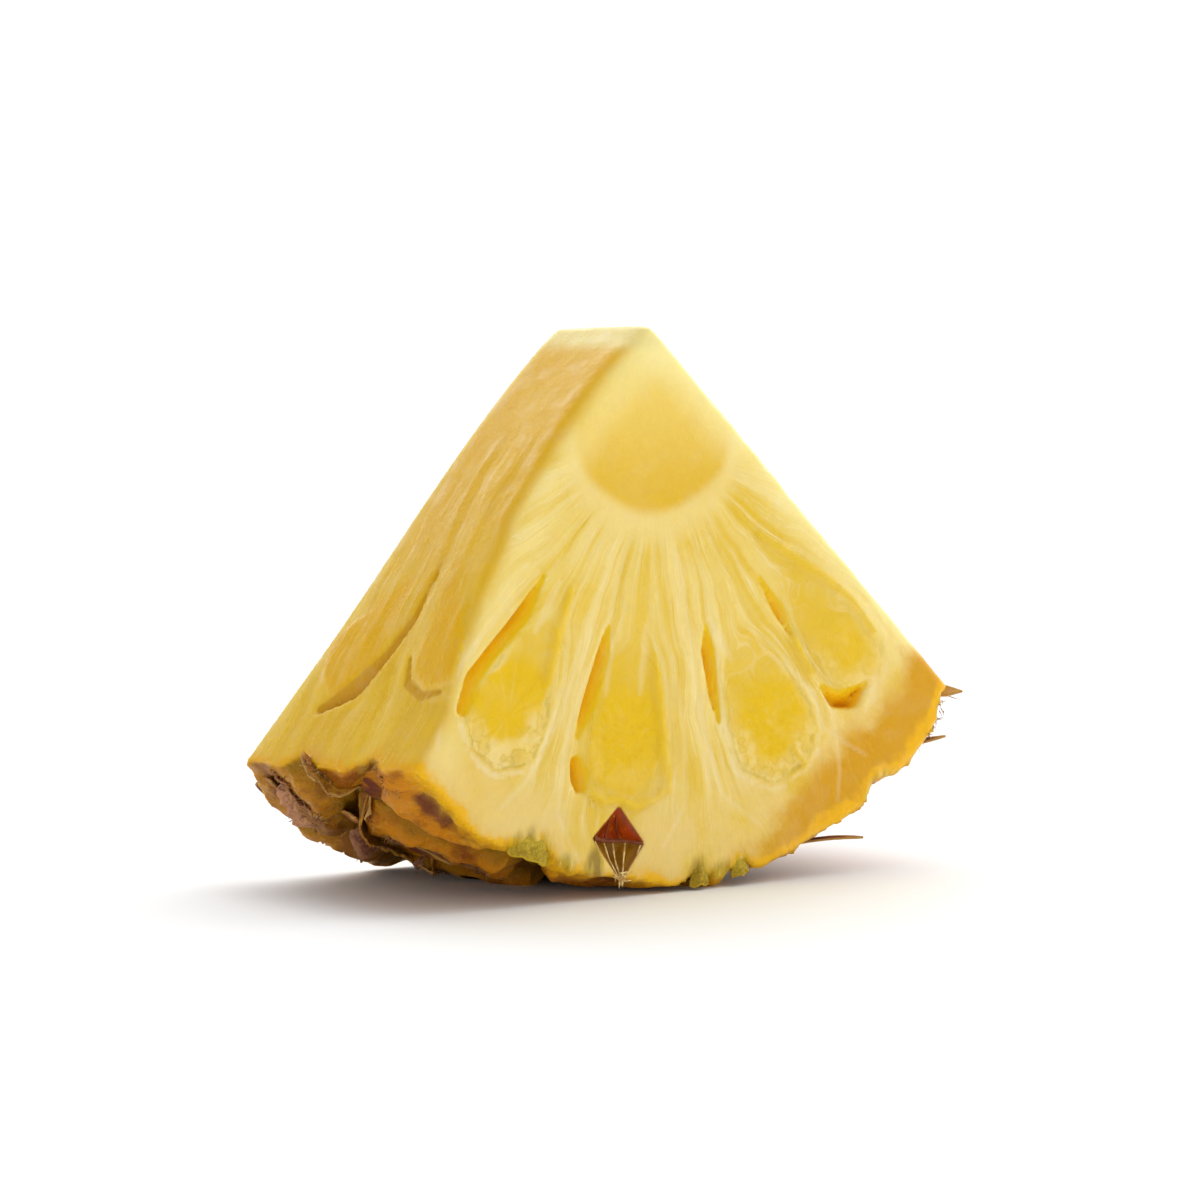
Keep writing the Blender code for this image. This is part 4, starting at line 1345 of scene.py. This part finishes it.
def curved_path(points, steps=5):
    """Smooth path through a few points."""
    rows = [Vector(point) for point in points]
    line = []
    for i in range(len(rows) - 1):
        before, after = rows[max(i - 1, 0)], rows[min(i + 2, len(rows) - 1)]
        first, second = rows[i], rows[i + 1]
        for step in range(steps):
            t = step / steps
            line.append(0.5 * (
                2.0 * first + (second - before) * t
                + (2.0 * before - 5.0 * first + 4.0 * second - after) * t ** 2
                + (3.0 * first - before - 3.0 * second + after) * t ** 3
            ))
    return line + [rows[-1]]


def grid_faces(rows, columns):
    """Quads of a sheet of rows by columns of squares."""
    faces = []
    for row in range(rows):
        for column in range(columns):
            first = row * (columns + 1) + column
            faces.append((first, first + columns + 1, first + columns + 2, first + 1))
    return faces


def bract_sheet(length, width, lift, seed):
    """A dry bract in its own frame, root at the origin, tip to -Y: points, faces and edge values."""
    rows, columns = 12, 8
    draw = random.Random(seed)
    fray = [draw.uniform(-1.0, 1.0) for _ in range(2 * rows + 2)]
    points, edges = [], []
    for row in range(rows + 1):
        share = row / rows
        half = 0.5 * width * (1.0 - share ** 1.8) ** 0.8 * (0.75 + 0.5 * share * (1.0 - share)) + 0.05
        for column in range(columns + 1):
            side = 2.0 * column / columns - 1.0
            ragged = 1.0 + 0.16 * fray[2 * row + (side > 0)] * min(4.0 * share, 1.0)
            arch = 0.22 * half * (1.0 - side * side)
            wave = 0.14 * noise.noise((0.8 * side * half + seed, 0.6 * width * share, 0.0))
            points.append(Vector((side * half * ragged, -length * share,
                                  lift * share ** 1.6 + arch + wave)))
            edges.append(max(abs(side), share))
    return points, grid_faces(rows, columns), edges


def thick_sheet(points, faces, edges, thickness):
    """A closed thin body from a sheet of quads: both faces and a wall round the border."""
    normals = [Vector() for _ in points]
    for face in faces:
        corner = [points[i] for i in face]
        normal = (corner[2] - corner[0]).cross(corner[3] - corner[1])
        for i in face:
            normals[i] += normal
    count = len(points)
    both = [p + n.normalized() * 0.5 * thickness for p, n in zip(points, normals)]
    both += [p - n.normalized() * 0.5 * thickness for p, n in zip(points, normals)]
    border = {pair for face in faces for pair in zip(face, face[1:] + face[:1])}
    walls = [(b, a, a + count, b + count) for a, b in sorted(border) if (b, a) not in border]
    under = [tuple(i + count for i in reversed(face)) for face in faces]
    return both, faces + under + walls, edges + edges


def sheet_piece(name, parts, material):
    """One object from thin bodies as (points, faces, edge values), kept above the floor."""
    points, faces, edges = [], [], []
    for part_points, part_faces, part_edges in parts:
        start = len(points)
        points += [Vector((p.x, p.y, max(p.z, FLOOR_GAP))) for p in part_points]
        faces += [tuple(i + start for i in face) for face in part_faces]
        edges += part_edges
    piece = mesh_from(name, points, faces, material)
    store(piece.data, "edge", edges)
    return piece


def finish_piece(piece, replaced=()):
    """Say what a piece rides on, and hide the nodes that it replaces."""
    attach(piece, "root")
    if replaced:
        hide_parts(*replaced)


def skin_points(spots, relief, sizes, lowest):
    """Points over the rind's relief, from rows of (arc, depth, lift)."""
    arc, depth, lift = np.array(spots, float).T
    turn = arc / RIND_RADIUS
    taut, way = SKIN_TAUT

    def placed(height):
        radius = rind_radius(arc, depth) + height
        return np.column_stack((
            radius * np.sin(turn), FRONT_Y + depth, RIND_Z - radius * np.cos(turn)))

    inwards = -surfaces(placed(0.0), relief, sizes)["cut"]
    share = taut + (1.0 - taut) * smooth(inwards, 0.0, way)
    points = placed(relief(arc, depth) * share + lift)
    points[:, 2] = np.maximum(points[:, 2], lowest)
    return [Vector(point) for point in points.tolist()]


def ribbon(inner, outer, ragged, crinkle, seed):
    """Sheet of (arc, depth, lift) from a held rail to a torn one, faces, and 1 at its torn edges."""
    columns = 6
    spots, edges = [], []
    rows = list(zip(curved_path(inner, RAIL_STEPS), curved_path(outer, RAIL_STEPS)))
    for row, (held, torn) in enumerate(rows):
        fray = noise.noise((0.45 * row, seed, 0.0)) + 0.6 * noise.noise((1.3 * row, seed, 5.0))
        end = min(row, len(rows) - 1 - row) / 4.0
        reach = (1.0 + ragged * fray) * min(0.35 + 0.65 * end, 1.0)
        for column in range(columns + 1):
            share = column / columns
            spot = held.lerp(torn, share * reach)
            spot.z += crinkle * share * noise.noise((0.9 * spot.x, 0.9 * spot.y, seed))
            spots.append(spot)
            edges.append(max(share, 1.0 - end))
    return spots, grid_faces(len(rows) - 1, columns), edges


class WEDGE_OT_body(bpy.types.Operator):
    """Make the wedge's flesh, core and rind as one body"""

    bl_idname = "pineapple.body"
    bl_label = "Flesh and rind"

    def execute(self, context):
        sizes, tints = context.scene.wedge_sizes, context.scene.wedge_colours
        relief = ReliefTable(sizes)
        points, quads = largest_piece(*wedge_mesh(sizes, relief))
        if len(points) < 1000:
            raise RuntimeError("the wedge's volume came out empty")
        in_gap = smooth(gaps_distance(surfaces(points, relief, sizes))[1], 0.3, -0.4)
        points = smoothed(points, quads, GAP_SMOOTHING * in_gap)
        body = mesh_from("wedge_flesh_and_rind", points, quads, wedge_material(tints))
        values = painted_values(surfaces(points, relief, sizes))
        height = fine_relief(points, values, sizes)
        moved = points + point_normals(body.data) * height[:, None]
        body.data.vertices.foreach_set("co", (moved * MM).astype(np.float32).ravel())
        body.data.update()
        for name, value in values.items():
            store(body.data, name, value)
        finish_piece(body, ("pineapple_wedge",))
        return {"FINISHED"}


BRACT_THICKNESS = 0.3
BRACT_ROOT = 6.5  # how far behind its eye a bract starts
BRACT_LIFT = 1.9
BRACT_SUNK = 0.9
BRACT_ARCS = (-44.0, 46.0)  # where an eye gets a whole bract, along the arc and in depth
BRACT_DEPTHS = (1.5, 38.0)
BRACT_SEED = 17


class WEDGE_OT_bracts(bpy.types.Operator):
    """Make a dry bract on each eye of the rind"""

    bl_idname = "pineapple.bracts"
    bl_label = "Bracts on the eyes"

    def execute(self, context):
        sizes, tints = context.scene.wedge_sizes, context.scene.wedge_colours
        sheet = bract_sheet(sizes.bract_length, sizes.bract_width, BRACT_LIFT, 3)
        points, faces, edges = thick_sheet(*sheet, BRACT_THICKNESS)
        prototype = mesh_from("bract", points, faces, bract_material(tints))
        store(prototype.data, "edge", edges)
        spots, turns, scales = [], [], []
        draw = random.Random(BRACT_SEED)
        for arc, depth in EYES:
            root = depth + BRACT_ROOT
            whole = BRACT_DEPTHS[0] < root - sizes.bract_length and root < BRACT_DEPTHS[1]
            if whole and BRACT_ARCS[0] < arc < BRACT_ARCS[1]:
                spots.append(rind_place(arc, root, -BRACT_SUNK))
                wobble = Matrix.Rotation(draw.uniform(-0.25, 0.25), 3, "Z")
                turns.append((rind_turn(arc) @ wobble).to_euler())
                scales.append((1.0, draw.uniform(0.85, 1.05), draw.uniform(0.6, 1.0)))
        bracts = scattered("bracts_on_eyes", prototype, spots, turns, scales, 0.08, 5)
        finish_piece(bracts)
        return {"FINISHED"}


# Root and tip as (arc, depth, height over the rind), and width.
LOOSE_BRACTS = [
    ((21.6, 6.5, 0.0), (30.2, 1.0, 4.1), 2.6),  # low on the right
    ((41.5, 5.5, -0.8), (48.6, 1.0, 3.2), 2.4),
    ((49.0, 8.0, -4.6), (54.6, 0.4, 1.4), 6.0),  # at the right edge
    ((-42.5, 17.0, -2.2), (-46.4, 1.5, -0.8), 6.5),  # at the left edge
    ((-34.0, 31.0, -2.4), (-39.6, 19.5, 0.4), 5.0),
    ((-39.0, 43.0, -2.6), (-44.6, 33.5, 0.2), 4.6),  # at the left corner behind
    ((-17.0, 38.0, -1.4), (-21.0, 27.0, 1.0), 5.6),  # underneath
]
LOOSE_BRACT_SEED = 40


class WEDGE_OT_loose_bracts(bpy.types.Operator):
    """Make the bracts that the knife tore loose at the edges"""

    bl_idname = "pineapple.loose_bracts"
    bl_label = "Loose bracts"

    def execute(self, context):
        tints = context.scene.wedge_colours
        parts = []
        for number, (root, tip, width) in enumerate(LOOSE_BRACTS):
            root, tip = Vector(root), Vector(tip)
            run = tip - root
            aside = Vector((run.y, -run.x, 0.0)).normalized()
            points, faces, edges = bract_sheet(1.0, width, 0.0, LOOSE_BRACT_SEED + number)
            placed = []
            for point in points:
                spot = root + run * -point.y + aside * point.x
                spot.z = root.z + run.z * (-point.y) ** 1.6 + 0.7 * point.z
                placed.append(rind_place(*spot))
            parts.append(thick_sheet(placed, faces, edges, BRACT_THICKNESS))
        finish_piece(sheet_piece("loose_bracts", parts, bract_material(tints)))
        return {"FINISHED"}


# Torn skin: held and torn rails as (arc, depth, lift over the relief), how ragged and how crinkled,
# and the names of its tint, its shade and its hem.
RIBBONS = [
    ([(-43.8, 32.6, -0.3), (-40.6, 33.2, -0.2), (-36.6, 32.4, -0.2), (-31.6, 30.6, -0.2),
      (-26.0, 28.8, -0.2), (-20.0, 28.5, -0.3)],
     [(-44.4, 33.8, 0.1), (-41.0, 35.6, 0.7), (-37.0, 35.2, 0.9), (-31.6, 33.4, 1.0),
      (-25.0, 31.8, 0.9), (-18.5, 31.0, 0.3)], 0.5, 0.8, 1.0, ("paper", "purple", "paper")),
    ([(-48.5, 24.5, -0.4), (-45.3, 21.5, -0.2), (-42.8, 18.8, -0.2), (-39.6, 18.6, -0.3)],
     [(-48.8, 22.4, 1.0), (-44.8, 19.2, 1.5), (-41.8, 16.8, 1.5), (-37.8, 16.9, 0.8)],
     0.45, 0.8, 2.0, ("torn", "plate_dark", "bract_edge")),
    ([(-41.6, 18.6, -0.3), (-38.6, 22.4, -0.2), (-33.4, 25.4, -0.2), (-26.5, 26.4, -0.2),
      (-18.0, 31.0, -0.3)],
     [(-41.0, 17.0, 0.7), (-37.0, 20.2, 1.3), (-31.4, 22.8, 1.4), (-24.0, 24.8, 1.3),
      (-14.5, 33.0, 0.7)], 0.25, 0.5, 3.0, ("olive", "plate_dark", "torn")),
    ([(-34.6, 20.5, -0.3), (-33.2, 16.4, -0.2), (-31.8, 12.6, -0.2), (-28.8, 11.0, -0.2),
      (-24.0, 12.6, -0.3)],
     [(-32.6, 21.5, 0.3), (-31.0, 17.6, 0.6), (-29.4, 14.2, 0.7), (-27.0, 13.2, 0.6),
      (-22.8, 14.4, 0.2)], 0.35, 0.7, 5.0, ("purple", "plate_dark", "paper")),
    ([(-46.0, 33.2, -0.3), (-43.4, 31.0, -0.1), (-40.0, 28.4, -0.2)],
     [(-45.4, 32.0, 0.5), (-42.8, 29.6, 0.8), (-39.4, 27.2, 0.5)], 0.4, 0.6, 6.0,
     ("purple", "plate_dark", "paper")),
]
RAIL_STEPS = 7  # steps from each of a rail's points to the next
SKIN_THICKNESS = 0.22
SKIN_LOWEST = 0.03  # height over the floor that the ribbons' middles keep
HAIR_SEED = 23
HAIR_RADIUS = 0.09
HAIR_LOWEST = 0.1
HAIR_POINTS = (0.0, 0.35, 0.7, 1.0)  # shares of a hair's length
HEM_HAIRS = 26  # hairs from each ribbon's torn rail, for every centimetre
# Where short hairs stand close: (arc, depth) at both ends, how wide, and how many.
HAIR_BANDS = [
    ((-46.0, 32.6), (-39.0, 26.8), 1.0, 90),
    ((-33.6, 21.0), (-22.0, 13.4), 1.8, 170),
    ((-46.6, 9.6), (-44.4, 5.6), 0.9, 50),
    ((-47.8, 23.4), (-41.0, 17.4), 0.7, 90),
    ((-43.0, 34.0), (-28.0, 32.0), 0.9, 110),
    ((45.0, 1.0), (52.0, 1.0), 0.9, 50),
]


class WEDGE_OT_torn_skin(bpy.types.Operator):
    """Make the ribbons of torn and papery skin on the left, and the rind's short hairs"""

    bl_idname = "pineapple.torn_skin"
    bl_label = "Torn skin"

    def execute(self, context):
        sizes, tints = context.scene.wedge_sizes, context.scene.wedge_colours
        relief = ReliefTable(sizes)
        parts, colours = [], []
        for inner, outer, ragged, crinkle, seed, names in RIBBONS:
            spots, faces, edges = ribbon(inner, outer, ragged, crinkle, seed)
            points = skin_points(spots, relief, sizes, SKIN_LOWEST)
            parts.append(thick_sheet(points, faces, edges, SKIN_THICKNESS))
            colours += [[getattr(tints, name) for name in names]] * len(parts[-1][0])
        skin = sheet_piece("torn_skin", parts, skin_material())
        for place, name in enumerate(("tint", "shade", "hem")):
            store(skin.data, name, [colour[place] for colour in colours])
        finish_piece(skin)
        self.hairs(sizes, tints, relief)
        return {"FINISHED"}

    def hairs(self, sizes, tints, relief):
        """Short hairs along the torn rails and in close bands."""
        draw = random.Random(HAIR_SEED)
        roots = []
        for inner, outer, *_ in RIBBONS:
            rail = curved_path(outer, RAIL_STEPS)
            for first, second in zip(rail[:-1], rail[1:]):
                for _ in range(round(HEM_HAIRS * (second - first).length / 10.0)):
                    spot = first.lerp(second, draw.random())
                    roots.append((spot, 0.35))
        for first, second, wide, count in HAIR_BANDS:
            first, second = Vector((*first, 0.0)), Vector((*second, 0.0))
            aside = (second - first).cross(Vector((0.0, 0.0, 1.0))).normalized()
            for _ in range(count):
                spot = first.lerp(second, draw.random()) + aside * draw.gauss(0.0, wide)
                roots.append((spot, 1.0))
        spots, thick = [], []
        for root, size in roots:
            way = Vector((draw.gauss(0.0, 1.0), draw.gauss(0.0, 1.0), 0.0))
            lift, long = draw.uniform(0.2, 1.1) * size, draw.uniform(0.3, 1.0) * size
            for share in HAIR_POINTS:
                spots.append(root + way * long * share ** 1.5
                             + Vector((0.0, 0.0, lift * share - 0.15 * (1.0 - share))))
                thick.append(HAIR_RADIUS * (1.1 - share))
        points = skin_points(spots, relief, sizes, HAIR_LOWEST)
        count = len(HAIR_POINTS)
        paths = [(points[i:i + count], thick[i:i + count]) for i in range(0, len(points), count)]
        hair = strand_material("skin_hair", tints.bract_edge, tints.purple)
        finish_piece(grown_strands("skin_hairs", paths, hair, 4))


# Green folds where a groove meets the front cut: arc at both ends, height at top and bottom over
# the rind's barrel, and how many pleats.
RIM_FOLDS = [
    (-29.6, -23.2, -3.9, 0.4, 2.5),
    (0.8, 3.6, -3.3, 0.2, 1.5),
    (7.8, 10.4, -2.9, 0.0, 1.5),
]
FOLD_THICKNESS = 0.3


class WEDGE_OT_rim_folds(bpy.types.Operator):
    """Make the green folds of skin in the notches of the front's rim"""

    bl_idname = "pineapple.rim_folds"
    bl_label = "Folds in the rim"

    def execute(self, context):
        tints = context.scene.wedge_colours
        parts = []
        rows, columns = 26, 12
        for seed, (first, last, top, foot, pleats) in enumerate(RIM_FOLDS):
            points, edges = [], []
            for row in range(rows + 1):
                share = row / rows
                arc = first + (last - first) * share
                bag = math.sin(math.pi * share) ** 0.5
                pleat = math.sin(2.0 * math.pi * pleats * share + 0.6 * seed)
                hang = foot * bag + 0.12 * pleat + 0.3 * noise.noise((3.0 * share, seed, 0.0))
                high = top * (0.25 + 0.75 * bag)
                for column in range(columns + 1):
                    way = column / columns
                    out = bag * math.sin(0.5 * math.pi * way)
                    depth = 0.45 - 0.7 * out + 0.3 * pleat * way
                    points.append(rind_place(arc, depth, high + (hang - high) * way))
                    edges.append(way ** 4)
            parts.append(thick_sheet(points, grid_faces(rows, columns), edges, FOLD_THICKNESS))
        folds = sheet_piece("rim_folds", parts, skin_material())
        for name, colour in (("tint", tints.fold), ("shade", tints.olive), ("hem", tints.gold)):
            store(folds.data, name, [colour] * len(folds.data.vertices))
        finish_piece(folds)
        return {"FINISHED"}


INWARDS = Vector((0.0, 1.0, 0.0))


def cup_corners():
    """The flower cup's top, left, low and right corners in the front cut."""
    corners = []
    for corner in CUP_CORNERS:
        across, up = on_front(*corner)
        corners.append(Vector((CORE_X + across, FRONT_Y, CORE_Z + up)))
    return corners


def cup_ribs(left, low, right):
    """Ribs from the cup's low corner to the line between its sides, as (points, radii)."""
    ribs = []
    for share in CUP_RIBS:
        rim = left.lerp(right, share)
        sunk = 0.2 + 1.3 * (1.0 - abs(2.0 * share - 1.0))
        path = curved_path([
            low + INWARDS * 0.1 + Vector((0.7 * (share - 0.5), 0.0, 0.3)),
            low.lerp(rim, 0.5) + INWARDS * (0.1 + 0.7 * sunk) + Vector((share - 0.5, 0.0, 0.0)),
            rim + INWARDS * sunk,
        ])
        ribs.append((path, [0.12 + 0.03 * math.sin(2.0 * i) for i in range(len(path))]))
    return ribs


def cup_tuft(low):
    """Short hairs round the cup's low corner, as (points, radii)."""
    draw = random.Random(TUFT_SEED)
    hairs = []
    for _ in range(TUFT_HAIRS):
        lean = Vector((draw.gauss(0.0, 0.8), draw.uniform(-0.5, 0.3), draw.uniform(-1.0, 0.4)))
        start = low + Vector((draw.gauss(0.0, 0.4), 0.1, draw.uniform(0.0, 1.2)))
        path = [start + lean * share for share in (0.0, 0.4, 0.8, 1.2)]
        hairs.append((path, [0.14, 0.12, 0.09, 0.03]))
    return hairs


def cup_bar(top, left, right):
    """The bar between the cup's sides and two stalks from it to the top, as (points, radii)."""
    path = curved_path([
        left + INWARDS * 0.2 + Vector((0.2, 0.0, 0.1)),
        left.lerp(right, 0.3) + INWARDS * 0.8 + Vector((0.0, 0.0, -0.2)),
        left.lerp(right, 0.6) + INWARDS * 0.8,
        right + INWARDS * 0.2 + Vector((-0.2, 0.0, -0.1)),
    ])
    bars = [(path, [0.36 - 0.012 * i + 0.1 * math.sin(2.0 * i) for i in range(len(path))])]
    for share in (0.35, 0.62):
        foot = left.lerp(right, share)
        path = curved_path([foot + INWARDS * 1.5, foot.lerp(top, 0.5) + INWARDS * 1.5,
                            top + INWARDS * 0.6 + Vector((0.0, 0.0, -0.4))])
        bars.append((path, [0.12] * len(path)))
    return bars


class WEDGE_OT_cup(bpy.types.Operator):
    """Make the ribs and the dark bar in the halved flower cup"""

    bl_idname = "pineapple.cup"
    bl_label = "Flower cup"

    def execute(self, context):
        tints = context.scene.wedge_colours
        top, left, low, right = cup_corners()
        pale = strand_material("cup_rib", tints.bract_edge, tints.lump)
        ribs = cup_ribs(left, low, right) + cup_tuft(low)
        finish_piece(grown_strands("flower_cup_ribs", ribs, pale))
        dark = strand_material("cup_bar", tints.plate_dark, tints.purple)
        finish_piece(grown_strands("flower_cup_bar", cup_bar(top, left, right), dark))
        return {"FINISHED"}


class WEDGE_OT_stage(bpy.types.Operator):
    """Make the floor, the light tent and the camera"""

    bl_idname = "pineapple.stage"
    bl_label = "Stage"

    def execute(self, context):
        studio = context.scene.wedge_studio
        self.floor()
        self.tent(context, studio)
        self.camera(context, studio)
        context.scene.view_settings.view_transform = "Standard"
        return {"FINISHED"}

    def floor(self):
        """Wide pale floor just under z = 0."""
        material, nodes = new_material("pale_floor")
        finish_material(nodes, Base_Color=FLOOR_COLOUR, Roughness=0.9, Specular_IOR_Level=0.1)
        corners = [(x * FLOOR_REACH, y * FLOOR_REACH, -FLOOR_GAP)
                   for x, y in ((-1, -1), (1, -1), (1, 1), (-1, 1))]
        mesh_from("floor", corners, [(0, 1, 2, 3)], material)

    def tent(self, context, studio):
        """Even light all round, brighter towards a window behind the wedge on its right."""
        world = bpy.data.worlds.new("light_tent")
        context.scene.world = world
        world.use_nodes = True
        nodes = Nodes(world.node_tree)
        way = Wire(nodes, nodes.add("ShaderNodeTexCoord").outputs["Generated"])
        towards = nodes.add("ShaderNodeVectorMath", {"operation": "DOT_PRODUCT"})
        nodes.feed(towards.inputs[0], way)
        nodes.feed(towards.inputs[1], Vector(WINDOW).normalized())
        window = Wire(nodes, towards.outputs["Value"]).step(0.3, 0.97)
        sky = studio.dim_sky + window * (studio.bright_sky - studio.dim_sky)
        strength = studio.horizon + nodes.part(way, "Z").step(0.14, 0.34) * (sky - studio.horizon)
        shader = nodes.add("ShaderNodeBackground", Color=(1.0, 1.0, 1.0), Strength=strength)
        output = nodes.add("ShaderNodeOutputWorld")
        nodes.tree.links.new(shader.outputs[0], output.inputs["Surface"])

    def camera(self, context, studio):
        """Camera that sees the core's front point where the picture has it."""
        turn, rise = studio.azimuth, studio.elevation
        back = Vector((math.sin(turn) * math.cos(rise), -math.cos(turn) * math.cos(rise),
                       math.sin(rise)))
        right = Vector((math.cos(turn), math.sin(turn), 0.0))
        up = back.cross(right)
        lens = bpy.data.cameras.new("camera")
        lens.sensor_width = SENSOR
        lens.lens = SENSOR * studio.distance / (PICTURE * studio.pixel)
        lens.clip_start = 0.01
        lens.clip_end = 200.0
        place = Vector((CORE_X, FRONT_Y, CORE_Z)) * MM + back * studio.distance
        place -= right * (CORE_PIXEL[0] - 0.5 * PICTURE) * studio.pixel
        place -= up * (0.5 * PICTURE - CORE_PIXEL[1]) * studio.pixel
        camera = bpy.data.objects.new("camera", lens)
        turned = Matrix((right, up, back)).transposed().to_4x4()
        camera.matrix_world = Matrix.Translation(place) @ turned
        context.scene.collection.objects.link(camera)
        context.scene.camera = camera


class WEDGE_PT_panel(bpy.types.Panel):
    """Sizes, colours and steps of the pineapple wedge"""

    bl_idname = "WEDGE_PT_panel"
    bl_label = "Pineapple wedge"
    bl_space_type = "VIEW_3D"
    bl_region_type = "UI"
    bl_category = "Pineapple"

    def draw(self, context):
        for group in GROUPS:
            box = self.layout.box()
            settings = getattr(context.scene, group)
            for name in settings.__annotations__:
                box.prop(settings, name)
        for operator in OPERATORS:
            self.layout.operator(operator.bl_idname)


GROUPS = {
    "wedge_sizes": WedgeSizes,
    "wedge_colours": WedgeColours,
    "wedge_studio": StudioSettings,
}
OPERATORS = [
    WEDGE_OT_body, WEDGE_OT_bracts, WEDGE_OT_loose_bracts, WEDGE_OT_torn_skin,
    WEDGE_OT_rim_folds, WEDGE_OT_cup, WEDGE_OT_stage,
]


def register():
    for kind in [*GROUPS.values(), *OPERATORS, WEDGE_PT_panel]:
        bpy.utils.register_class(kind)
    for name, group in GROUPS.items():
        setattr(bpy.types.Scene, name, bpy.props.PointerProperty(type=group))


def unregister():
    for name in GROUPS:
        delattr(bpy.types.Scene, name)
    for kind in [WEDGE_PT_panel, *OPERATORS[::-1], *list(GROUPS.values())[::-1]]:
        bpy.utils.unregister_class(kind)


def main():
    register()
    bpy.ops.pineapple.body()
    bpy.ops.pineapple.bracts()
    bpy.ops.pineapple.loose_bracts()
    bpy.ops.pineapple.torn_skin()
    bpy.ops.pineapple.rim_folds()
    bpy.ops.pineapple.cup()
    bpy.ops.pineapple.stage()


if __name__ == "__main__":
    main()
